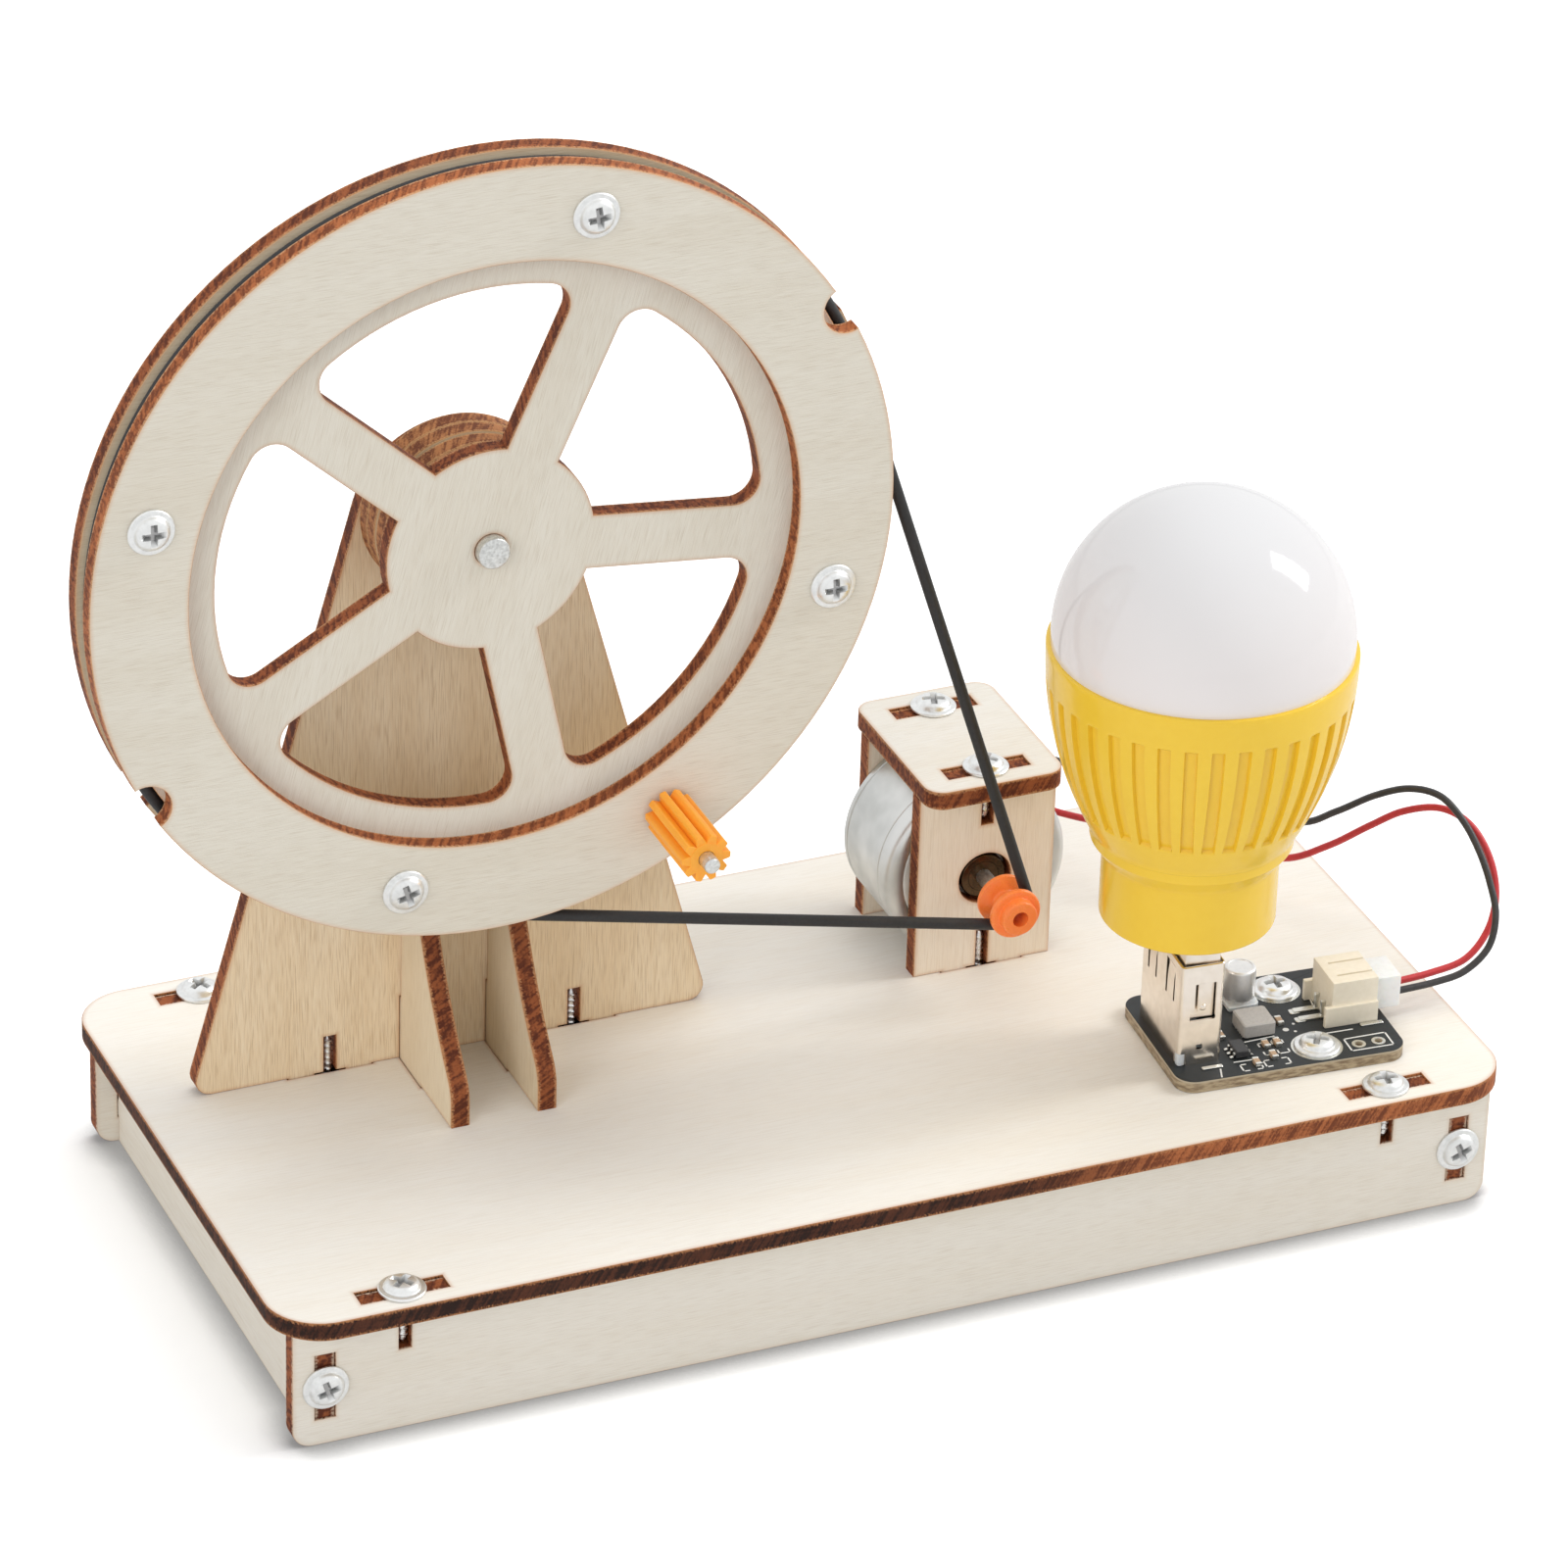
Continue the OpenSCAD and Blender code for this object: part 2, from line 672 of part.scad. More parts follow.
module gusset(x) {
    color(wood) translate([tower_x + x + ply / 2, tower_y, base_h]) rotate([90, 0, -90]) linear_extrude(ply) {
        polygon(concat([[0, 0], [gusset_foot, 0]], gusset_front, [[0, gusset_h]]));
        translate([-tab_len, -tab_len]) square([tab_len + gusset_tab_len, tab_len]);
        translate([-tab_len, -slot_gap]) square([tab_len, gusset_tab_h + slot_gap]);
    }
}

module left_gusset() gusset(-gusset_x);

module right_gusset() gusset(gusset_x);

module tower_screws() {
    color(zinc) for (x = [-1, 1])
        translate([tower_x + x * tower_screw_x, tower_y + ply / 2, rail_h]) rotate([180, 0, 0]) screw(joint_shank);
}

module tower_spacer_discs() {
    color(wood) for (i = [0 : tower_discs - 1])
        ring_y(axle_x, axle_z, tower_y - (i + 1) * ply, tower_y - i * ply) difference() {
            circle(spacer_r);
            circle(axle_d / 2 + axle_gap);
        }
}

// Wheel

module ring_holes() {
    for (a = [45 : 90 : 315]) rotate(a) translate([pin_circle_r, 0]) circle(screw_d / 2 + screw_gap);
    rotate(-90) translate([pin_circle_r, 0]) circle(pin_d / 2 + press_gap);
}

module ring_shape() {
    difference() {
        circle(wheel_r, $fn = 128);
        circle(ring_inner_r, $fn = 128);
        ring_holes();
        for (a = [0, 180]) rotate(a) translate([wheel_r, 0]) circle(notch_r);
    }
}

// The solid left in a window's outer corner, on the upper side of a spoke that lies along x
module window_corner() {
    rise = spoke_w / 2 + window_corner_r;
    reach = sqrt(pow(window_r - window_corner_r, 2) - pow(rise, 2));
    outer = [reach, rise] * (window_r + 1) / (window_r - window_corner_r);
    difference() {
        polygon([[reach, spoke_w / 2 - 1], [window_r + 1, spoke_w / 2 - 1], outer, [reach, rise]]);
        translate([reach, rise]) circle(window_corner_r);
    }
}

module windows() {
    difference() {
        circle(window_r, $fn = 128);
        circle(hub_r);
        for (i = [0 : spokes - 1]) rotate(180 + i * 360 / spokes) {
            translate([0, -spoke_w / 2]) square([window_r + 1, spoke_w]);
            window_corner();
            mirror([0, 1]) window_corner();
        }
    }
}

module wheel_front_ring() {
    color(wood) on_wheel(wheel_front_y + ply) linear_extrude(ply) ring_shape();
}

module wheel_spoked_disc() {
    color(wood) on_wheel(wheel_front_y + 2 * ply) linear_extrude(ply) difference() {
        circle(groove_r, $fn = 128);
        windows();
        ring_holes();
        circle(axle_d / 2 + press_gap);
    }
}

module wheel_rear_ring() {
    color(wood) on_wheel(wheel_back_y) linear_extrude(ply) ring_shape();
}

module wheel_ring_screws() {
    color(zinc) for (a = [45 : 90 : 315])
        on_wheel(wheel_front_y) rotate(a) translate([pin_circle_r, 0, 0]) screw(3 * ply - screw_tip_gap);
}

module hub_spacer_discs() {
    color(wood) for (y = [wheel_back_y - ply, wheel_back_y])
        ring_y(axle_x, axle_z, y, y + ply) difference() {
            circle(spacer_r);
            circle(axle_d / 2 + press_gap);
        }
}

module wheel_axle() {
    color(steel) round_y(axle_x, axle_z, wheel_front_y + ply - axle_front, axle_back_y, axle_d);
}

module axle_collar() {
    color("#3a3a3a") ring_y(axle_x, axle_z, axle_back_y - collar_len, axle_back_y) difference() {
        circle(d = collar_d);
        circle(axle_d / 2 + press_gap);
    }
}

grip_front_y = wheel_front_y - grip_gap - grip_len;

module crank_pin() {
    color(steel) on_wheel(wheel_back_y) rotate(-90) translate([pin_circle_r, 0, 0])
        cylinder(h = wheel_back_y - grip_front_y + pin_tip, d = pin_d);
}

module crank_grip() {
    tooth_base = 1.3;
    tooth_top = 0.8;
    color("#fba23c") on_wheel(wheel_front_y - grip_gap) rotate(-90) translate([pin_circle_r, 0, 0])
        linear_extrude(grip_len) difference() {
            union() {
                circle(d = grip_root_d);
                for (i = [0 : grip_teeth - 1]) rotate(i * 360 / grip_teeth)
                    polygon([[0, -tooth_base / 2], [grip_root_d / 2, -tooth_base / 2], [grip_d / 2, -tooth_top / 2],
                        [grip_d / 2, tooth_top / 2], [grip_root_d / 2, tooth_base / 2], [0, tooth_base / 2]]);
            }
            circle(pin_d / 2 + axle_gap);
        }
}

// Motor mount

module mount_plate(y) {
    color(wood) translate([mount_x, 0, base_h]) plate_upright(y) difference() {
        union() {
            translate([-mount_w / 2, 0]) square([mount_w, mount_h]);
            rotate(180) joint_tabs(joint_len);
            translate([0, mount_h]) joint_tabs(joint_len);
        }
        rotate(180) bite_slot();
        translate([0, mount_h]) bite_slot();
        translate([0, motor_h]) circle(d = boss_hole_d);
    }
}

module motor_mount_front() mount_plate(mount_y);

module motor_mount_rear() mount_plate(mount_rear_y);

module motor_mount_top() {
    color(wood) translate([mount_x, mount_mid_y, base_h + mount_h]) linear_extrude(ply) difference() {
        round_rect(mount_w, mount_dep, mount_corner_r);
        for (y = [mount_y, mount_rear_y]) translate([0, y + ply / 2 - mount_mid_y]) joint_slot(joint_len);
    }
}

module motor_mount_top_screws() {
    color(zinc) for (y = [mount_y, mount_rear_y])
        translate([mount_x, y + ply / 2, base_h + mount_h + ply]) screw(joint_shank);
}

module motor_mount_base_screws() {
    color(zinc) for (y = [mount_y, mount_rear_y])
        translate([mount_x, y + ply / 2, rail_h]) rotate([180, 0, 0]) screw(joint_shank);
}

// Motor

module motor_can() {
    color(steel) difference() {
        union() {
            round_y(mount_x, motor_z, motor_front_y + can_edge, motor_back_y, can_d);
            translate([mount_x, motor_front_y + can_edge, motor_z]) rotate([90, 0, 0])
                cylinder(h = can_edge, d1 = can_d, d2 = can_d - 2 * can_edge);
            round_y(mount_x, motor_z, motor_front_y - boss_len, motor_front_y + can_wall, boss_d);
        }
        round_y(mount_x, motor_z, motor_front_y + can_wall, motor_back_y + 1, can_d - 2 * can_wall);
        round_y(mount_x, motor_z, motor_front_y - boss_len - 1, motor_back_y, bearing_d + 2 * press_gap);
    }
}

module motor_end_cap() {
    color("#d8d8d4") difference() {
        union() {
            round_y(mount_x, motor_z, cap_front_y, motor_back_y, can_d - 2 * can_wall - 2 * press_gap);
            round_y(mount_x, motor_z, cap_front_y, motor_back_y + boss_len, boss_d);
        }
        round_y(mount_x, motor_z, cap_front_y - 1, motor_back_y + boss_len + 1, bearing_d + 2 * press_gap);
        for (a = [-1, 1]) terminal_place(a)
            cube([terminal_t + 2 * press_gap, 4 * cap_t, terminal_w + 2 * press_gap], center = true);
    }
}

module terminal_place(side) {
    translate([mount_x, motor_back_y, motor_z]) rotate([0, -side * terminal_angle, 0])
        translate([terminal_r, 0, 0]) rotate([0, side * terminal_angle, 0]) children();
}

module motor_bearings() {
    color("#b88a4a") for (y = [motor_front_y - boss_len, cap_front_y])
        ring_y(mount_x, motor_z, y, y + boss_len + can_wall) difference() {
            circle(d = bearing_d);
            circle(shaft_d / 2 + shaft_gap);
        }
}

module motor_magnet() {
    color("#4a4a4c") ring_y(mount_x, motor_z, motor_front_y + can_wall + magnet_inset, core_back_y + magnet_past_core) difference() {
        circle(magnet_out_r);
        circle(magnet_out_r - magnet_t);
    }
}

module motor_brushes() {
    inner = commutator_r + brush_gap;
    color("#c08a3c") for (side = [-1, 1])
        translate([mount_x + side * (inner + brush_t / 2), cap_front_y - brush_len / 2, motor_z])
            cube([brush_t, brush_len, brush_w], center = true);
}

module motor_terminals() {
    color("#c9b27a") for (side = [-1, 1]) terminal_place(side)
        translate([0, (terminal_len - cap_t) / 2, 0])
            cube([terminal_t, terminal_len + cap_t, terminal_w], center = true);
}

module motor_shaft() {
    color(steel) round_y(mount_x, motor_z, shaft_front_y, motor_back_y + boss_len, shaft_d);
}

module motor_armature() {
    color("#6a6a6c") ring_y(mount_x, motor_z, core_back_y - core_len, core_back_y) difference() {
        union() {
            circle(pole_hub_r);
            for (a = [0, 120, 240]) rotate(a) {
                translate([0, -pole_w / 2]) square([armature_r - pole_tip_t / 2, pole_w]);
                intersection() {
                    difference() {
                        circle(armature_r);
                        circle(armature_r - pole_tip_t);
                    }
                    polygon([[0, 0], [2 * armature_r, -2 * armature_r], [2 * armature_r, 2 * armature_r]]);
                }
            }
        }
        circle(shaft_d / 2 + press_gap);
    }
}

module motor_windings() {
    from = pole_hub_r + winding_gap;
    to = armature_r - pole_tip_t - winding_gap;
    color("#b0623a") for (a = [0, 120, 240])
        translate([mount_x, core_back_y - core_len / 2, motor_z]) rotate([90, 0, 0]) rotate(a)
            translate([(from + to) / 2, 0, 0]) difference() {
                cube([to - from, pole_w + 2 * winding_t, core_len + 2 * winding_end_t], center = true);
                cube([2 * armature_r, pole_w + 2 * press_gap, core_len + 2 * press_gap], center = true);
            }
}

module motor_commutator() {
    color("#c07a44")
        ring_y(mount_x, motor_z, commutator_back_y - commutator_len, commutator_back_y) difference() {
            circle(commutator_r);
            circle(shaft_d / 2 + press_gap);
            for (a = [60 : 120 : 300]) rotate(a) translate([commutator_r - 0.6, -0.15]) square([1, 0.3]);
        }
}

module drive_pulley() {
    flange_in = pulley_half_floor + 0.5;
    color(orange) translate([mount_x, belt_y, motor_z]) rotate([90, 0, 0]) difference() {
        rotate_extrude()
            polygon([[0, -pulley_half], [pulley_flange_r, -pulley_half], [pulley_flange_r, -flange_in],
                [pulley_root_r, -pulley_half_floor], [pulley_root_r, pulley_half_floor],
                [pulley_flange_r, flange_in], [pulley_flange_r, pulley_half], [pulley_boss_r, pulley_half],
                [pulley_boss_r, pulley_half + pulley_boss_len], [0, pulley_half + pulley_boss_len]]);
        translate([0, 0, -10]) cylinder(h = 20, d = shaft_d + 2 * press_gap);
    }
}

// Belt

module belt_arc(r, from, sweep) {
    rotate(from) rotate_extrude(angle = sweep, $fn = 128) translate([r, 0]) circle(d = belt_d, $fn = 24);
}

module belt() {
    color("#2a2a2a") translate([axle_x, belt_y, axle_z]) rotate([90, 0, 0]) rotate(belt_slope) {
        belt_arc(wheel_belt_r, belt_open, 360 - 2 * belt_open);
        translate([belt_span, 0, 0]) belt_arc(pulley_belt_r, -belt_open, 2 * belt_open);
        for (side = [-1, 1])
            rotate(side * belt_open) translate([wheel_belt_r, 0, 0]) rotate([side * 90, 0, 0])
                translate([0, 0, -belt_lap]) cylinder(h = belt_run + 2 * belt_lap, d = belt_d - belt_thin, $fn = 24);
    }
}

// Circuit board

module circuit_board() {
    color("#3c464b") on_board() linear_extrude(board_t) difference() {
        round_rect(board_len, board_dep, board_corner_r);
        for (y = [-1, 1]) translate([board_screw_x, y * board_screw_y]) circle(screw_d / 2 + screw_gap);
        for (i = [0, 1]) translate(in_hole_place + i * [in_hole_pitch, 0]) circle(d = in_hole_d);
    }
}

module board_screws() {
    color(zinc) on_board() for (y = [-1, 1])
        translate([board_screw_x, y * board_screw_y, board_t]) screw(board_t + ply + board_screw_past);
}

// A spring cut out of a sheet that faces +y: two slits and a wider slit across its free end
module spring_cut(w, len, end_h) {
    for (x = [-1, 1]) translate([x * w / 2 - spring_slit / 2, -shell_wall, 0]) cube([spring_slit, 3 * shell_wall, len]);
    translate([-w / 2 - spring_slit, -shell_wall, -end_h / 2]) cube([w + 2 * spring_slit, 3 * shell_wall, end_h]);
}

module usb_socket_shell() {
    color("#d9d2c8") at_socket() translate([0, 0, board_t]) difference() {
        linear_extrude(socket_h) difference() {
            round_rect(socket_w + 2 * shell_wall, socket_t + 2 * shell_wall, shell_corner_r);
            square([socket_w, socket_t], center = true);
        }
        for (a = [90, 270]) rotate(a) translate([0, socket_w / 2, socket_h - end_spring_low]) {
            spring_cut(end_spring_w, end_spring_len, end_spring_slot);
            translate([-latch_hole / 2, -shell_wall, -latch_drop]) cube([latch_hole, 3 * shell_wall, latch_hole]);
        }
        for (a = [0, 180], x = [-1, 1])
            rotate(a) translate([x * side_spring_x, socket_t / 2, socket_h - side_spring_high]) mirror([0, 0, 1])
                spring_cut(side_spring_w, side_spring_len, spring_slit);
    }
}

module usb_socket_insert() {
    color("#efefec") at_socket() translate([0, 0, board_t]) {
        translate([0, 0, socket_floor / 2])
            cube([socket_w - 2 * press_gap, socket_t - 2 * press_gap, socket_floor], center = true);
        translate([0, tongue_y, socket_floor + tongue_h / 2])
            cube([plug_w - 2 * shell_wall - 2 * tongue_gap, tongue_t, tongue_h], center = true);
    }
}

module inductor() {
    color("#77736e") on_board() translate([coil_place[0], coil_place[1], board_t]) {
        translate([0, 0, pad_t]) linear_extrude(coil_h - pad_t) round_rect(coil_w, coil_w, coil_corner_r);
        for (x = [-1, 1]) translate([x * (coil_w - coil_pad) / 2, 0, pad_t / 2])
            cube([coil_pad, 0.7 * coil_w, pad_t], center = true);
    }
}

module capacitor() {
    r = cap_d / 2;
    cut = 0.4 * r;
    foot = r + cap_foot_out;
    color("#c4c8cc") on_board() translate([cap_place[0], cap_place[1], board_t]) {
        linear_extrude(cap_foot_h) polygon([[-foot, -foot], [foot - cut, -foot], [foot, cut - foot],
            [foot, foot - cut], [foot - cut, foot], [-foot, foot]]);
        rotate_extrude() polygon([[0, 0], [r, 0], [r, cap_crimp_z - cap_crimp], [r - cap_crimp, cap_crimp_z],
            [r, cap_crimp_z + cap_crimp], [r, cap_h - cap_crimp], [r - cap_crimp, cap_h], [0, cap_h]]);
    }
}

module converter_chip() {
    color("#26282a") on_board() translate([chip_place[0], chip_place[1], board_t]) {
        translate([0, 0, leg_t / 2 + chip_h / 2]) cube([chip_w, chip_len, chip_h], center = true);
        for (x = [-1, 1], y = [-leg_pitch, 0, leg_pitch])
            translate([x * (chip_w + leg_len) / 2 - x * leg_t / 2, y, leg_t / 2])
                cube([leg_len + leg_t, leg_w, leg_t], center = true);
    }
}

module chip_resistors() {
    color("#8a6f52") on_board() for (p = resistor_places)
        translate([p[0], p[1], board_t + resistor_h / 2]) cube([resistor_w, resistor_len, resistor_h], center = true);
}

module header_hollow(extra) {
    translate([header_x - header_len / 2 + header_back, header_y - header_block_w / 2 + header_wall, header_wall])
        cube([header_len - header_back + extra, header_block_w - 2 * header_wall, header_h - 2 * header_wall]);
}

module wire_header() {
    back_x = header_x - header_len / 2;
    wing_t = (header_w - header_block_w) / 2 + wing_lap;
    wing_mid_y = (header_w - wing_t) / 2;
    hole = contact_w + 2 * press_gap;
    color("#e6d7b8") on_board() translate([0, 0, board_t]) difference() {
        union() {
            translate([back_x, header_y - header_block_w / 2, 0]) cube([header_len, header_block_w, header_h]);
            for (y = [-1, 1]) translate([back_x - wing_back, header_y + y * wing_mid_y - wing_t / 2, 0])
                cube([wing_len, wing_t, wing_h]);
        }
        header_hollow(1);
        for (y = [-1, 1]) translate([back_x - 1, header_y + y * pin_pitch / 2 - hole / 2, pin_z - hole / 2])
            cube([header_back + 2, hole, hole]);
        for (y = [-1, 1])
            translate([back_x + header_back, header_y + y * pin_pitch * 0.75 - slit_w / 2, header_h - slit_t])
                cube([header_len, slit_w, 2 * slit_t]);
    }
}

module header_pins() {
    back_x = header_x - header_len / 2;
    color("#c9b27a") on_board() for (y = [-1, 1]) translate([back_x, header_y + y * pin_pitch / 2, board_t]) {
        translate([-contact_w, -contact_w / 2, pin_z - contact_w / 2])
            cube([contact_w + header_back + contact_len, contact_w, contact_w]);
        translate([-contact_w, -contact_w / 2, 0]) cube([contact_w, contact_w, pin_z]);
        translate([-foot_len, -foot_w / 2, 0]) cube([foot_len, foot_w, foot_t]);
    }
}

module wire_plug() {
    front_x = header_x - header_len / 2 + header_back + plug_room;
    w = header_block_w - 2 * header_wall - 2 * wire_plug_gap;
    h = header_h - 2 * header_wall - 2 * wire_plug_gap;
    low_z = header_wall + wire_plug_gap;
    hole = contact_w + 2 * contact_room;
    color("#f2f1ee") on_board() translate([0, header_y, board_t + low_z]) difference() {
        translate([front_x, -w / 2, 0]) cube([plug_face_x - front_x, w, h]);
        for (y = [-1, 1]) translate([front_x - 1, y * pin_pitch / 2 - hole / 2, pin_z - low_z - hole / 2])
            cube([contact_len + 1, hole, hole]);
    }
}

// Wires

function spline_point(a, b, c, d, t) =
    0.5 * (2 * b + (c - a) * t + (2 * a - 5 * b + 4 * c - d) * t * t + (3 * b - a - 3 * c + d) * t * t * t);

function smooth_line(p) = [
    for (i = [0 : len(p) - 2], s = [0 : route_steps - 1])
        spline_point(p[max(i - 1, 0)], p[i], p[i + 1], p[min(i + 2, len(p) - 1)], s / route_steps),
    p[len(p) - 1]];

function unit(v) = v / norm(v);

function direction(line, i) = unit(line[min(i + 1, len(line) - 1)] - line[max(i - 1, 0)]);

module wire(places) {
    line = smooth_line(places);
    rings = len(line);
    points = [for (i = [0 : rings - 1])
        let (t = direction(line, i), u = unit(cross(t, [0.1, 0.2, 1])), v = cross(t, u))
        for (k = [0 : wire_sides - 1])
            line[i] + wire_d / 2 * (cos(k * 360 / wire_sides) * u + sin(k * 360 / wire_sides) * v)];
    sides = [for (i = [0 : rings - 2], k = [0 : wire_sides - 1])
        let (a = i * wire_sides + k, b = i * wire_sides + (k + 1) % wire_sides)
        each [[a, b, b + wire_sides], [a, b + wire_sides, a + wire_sides]]];
    first = [for (k = [1 : wire_sides - 2]) [0, k + 1, k]];
    last_ring = (rings - 1) * wire_sides;
    last = [for (k = [1 : wire_sides - 2]) [last_ring, last_ring + k, last_ring + k + 1]];
    polyhedron(points, concat(sides, first, last));
}

module red_wire() color("#c83c3c") wire(route(-terminal_rise, red_bends, pin_pitch / 2));

module black_wire() color("#303030") wire(route(terminal_rise, black_bends, -pin_pitch / 2));

// Bulb

module at_bulb(z) at_socket() translate([0, 0, z - base_h]) children();

// Half outline of the bulb's body, in by a wall
module bulb_half(wall) {
    intersection() {
        translate([0, lip_high]) square([rim_r + 1, bulb_body_h - lip_high]);
        translate(side_centre) circle(bulb_side_r - wall, $fn = 128);
    }
    polygon([[0, 0], [neck_r - wall, 0], [neck_r - wall, neck_h], [lip_r - wall, lip_low],
        [lip_r - wall, lip_high + 0.01], [0, lip_high + 0.01]]);
}

function side_r(z) = side_centre[0] + sqrt(pow(bulb_side_r, 2) - pow(z - side_centre[1], 2));

groove_steps = 4;
groove_step_h = (groove_high - groove_low) / groove_steps;
groove_floor = [for (k = [0 : groove_steps]) let (z = groove_low + k * groove_step_h) [side_r(z) - groove_t, z]];

module groove_cutter() {
    rotate([90, 0, 0]) linear_extrude(groove_w, center = true)
        polygon(concat(groove_floor, [[rim_r + 1, groove_high], [rim_r + 1, groove_low]]));
}

module bulb_body() {
    floor_t = 2;
    color(yellow) at_bulb(foot_z) difference() {
        rotate_extrude($fn = 128) bulb_half(0);
        difference() {
            rotate_extrude($fn = 128) bulb_half(bulb_wall);
            translate([-rim_r, -rim_r, -1]) cube([2 * rim_r, 2 * rim_r, floor_t + 1]);
        }
        translate([0, 0, bulb_body_h - rim_step]) cylinder(h = 2 * rim_step, r = rim_seat_r);
        cube([plug_w + 2 * press_gap, plug_t + 2 * press_gap, 4 * floor_t], center = true);
        for (i = [0 : grooves - 1]) rotate((i + 0.5) * 360 / grooves) groove_cutter();
    }
}

dome_r = rim_r - dome_inset;
dome_step = 0.05;

// Half outline of a dome on its skirt, which stands in by a small step
module dome_half(r) {
    translate([0, dome_skirt]) intersection() {
        circle(r, $fn = 128);
        square([r, r]);
    }
    square([r - dome_step, dome_skirt + 0.01]);
}

module bulb_dome() {
    color("#f2f1f2") at_bulb(rim_z) rotate_extrude($fn = 128) difference() {
        dome_half(dome_r);
        dome_half(dome_r - dome_wall);
    }
}

module lamp_board() {
    color("#e4e6e4") at_bulb(lamp_z) cylinder(h = lamp_board_t, r = rim_seat_r - lamp_gap);
}

module lamp_chips() {
    color("#f3e28a") at_bulb(lamp_z + lamp_board_t)
        for (i = [0 : lamp_chip_count - 1]) rotate(i * 360 / lamp_chip_count)
            translate([lamp_ring_r, 0, lamp_chip_h / 2]) cube([lamp_chip_w, lamp_chip_len, lamp_chip_h], center = true);
}

module bulb_leads() {
    color("#c23c3c") at_bulb(foot_z + plug_root) for (x = [-1, 1])
        translate([x * lead_x, -tongue_y, 0]) cylinder(h = lamp_z - foot_z - plug_root, d = lead_d);
}

module usb_plug_shell() {
    color(zinc) at_bulb(foot_z - plug_len) linear_extrude(plug_len + plug_root) difference() {
        square([plug_w, plug_t], center = true);
        square([plug_w - 2 * shell_wall, plug_t - 2 * shell_wall], center = true);
    }
}

module usb_plug_insert() {
    inner_w = plug_w - 2 * shell_wall - 2 * press_gap;
    inner_t = plug_t - 2 * shell_wall - 2 * press_gap;
    color("#f4f4f2") at_bulb(foot_z - plug_len) {
        translate([-inner_w / 2, -inner_t / 2, 0.3]) cube([inner_w, inner_t / 2 - tongue_gap, plug_len + plug_root - 0.3]);
        translate([-inner_w / 2, -inner_t / 2, plug_len]) cube([inner_w, inner_t, plug_root]);
    }
}

base_top();
front_rail();
rear_rail();
left_rail();
right_rail();
base_top_screws();
rail_screws();
tower_plate();
left_gusset();
right_gusset();
tower_screws();
tower_spacer_discs();
wheel_front_ring();
wheel_spoked_disc();
wheel_rear_ring();
wheel_ring_screws();
hub_spacer_discs();
wheel_axle();
axle_collar();
crank_pin();
crank_grip();
motor_mount_front();
motor_mount_rear();
motor_mount_top();
motor_mount_top_screws();
motor_mount_base_screws();
motor_can();
motor_end_cap();
motor_bearings();
motor_magnet();
motor_brushes();
motor_terminals();
motor_shaft();
motor_armature();
motor_windings();
motor_commutator();
drive_pulley();
belt();
circuit_board();
board_screws();
usb_socket_shell();
usb_socket_insert();
inductor();
capacitor();
converter_chip();
chip_resistors();
wire_header();
header_pins();
wire_plug();
red_wire();
black_wire();
bulb_body();
bulb_dome();
lamp_board();
lamp_chips();
bulb_leads();
usb_plug_shell();
usb_plug_insert();
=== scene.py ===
import math

import bmesh
import bpy
from mathutils import Matrix, Vector


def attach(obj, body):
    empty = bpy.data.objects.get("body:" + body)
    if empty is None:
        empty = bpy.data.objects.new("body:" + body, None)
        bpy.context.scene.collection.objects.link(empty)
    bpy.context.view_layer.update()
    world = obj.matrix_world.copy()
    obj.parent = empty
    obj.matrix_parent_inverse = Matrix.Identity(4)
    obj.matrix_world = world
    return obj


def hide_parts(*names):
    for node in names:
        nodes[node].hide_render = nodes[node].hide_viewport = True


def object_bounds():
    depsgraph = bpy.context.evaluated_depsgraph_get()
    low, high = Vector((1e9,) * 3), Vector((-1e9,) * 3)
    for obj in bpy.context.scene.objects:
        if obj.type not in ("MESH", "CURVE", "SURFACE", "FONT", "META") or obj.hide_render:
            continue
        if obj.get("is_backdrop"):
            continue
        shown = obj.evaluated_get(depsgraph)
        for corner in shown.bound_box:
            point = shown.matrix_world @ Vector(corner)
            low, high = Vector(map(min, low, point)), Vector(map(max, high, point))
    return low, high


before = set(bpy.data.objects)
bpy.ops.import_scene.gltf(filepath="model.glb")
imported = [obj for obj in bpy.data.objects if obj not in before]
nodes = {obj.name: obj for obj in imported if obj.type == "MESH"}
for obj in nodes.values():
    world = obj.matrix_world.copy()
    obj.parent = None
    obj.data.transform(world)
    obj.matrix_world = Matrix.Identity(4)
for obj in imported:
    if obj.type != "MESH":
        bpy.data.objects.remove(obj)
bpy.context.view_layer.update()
scene = bpy.context.scene
mm = 0.001
print("loaded", len(nodes), "solids")

# camera, floor and light

photoView = {  # the camera of the photo, in mm and pixels
    "place": (-347.075, -780.759, 547.109),
    "right": (0.920621, -0.389452, 0.028010),
    "up": (0.172330, 0.469644, 0.865873),
    "focal": 8355.84,
    "pixels": 1600,
    "sensor": 36,
    "clip": (0.01, 20),  # in m
}


def addObject(name, data):
    made = bpy.data.objects.new(name, data)
    scene.collection.objects.link(made)
    return made


def makeCamera():
    data = bpy.data.cameras.new("photoCamera")
    data.sensor_width = photoView["sensor"]
    data.lens = photoView["focal"] / photoView["pixels"] * photoView["sensor"]
    data.clip_start, data.clip_end = photoView["clip"]
    camera = addObject("photoCamera", data)
    right = Vector(photoView["right"]).normalized()
    back = right.cross(Vector(photoView["up"])).normalized()
    turn = Matrix((right, back.cross(right), back)).transposed().to_4x4()
    camera.matrix_world = Matrix.Translation(Vector(photoView["place"]) * mm) @ turn
    scene.camera = camera


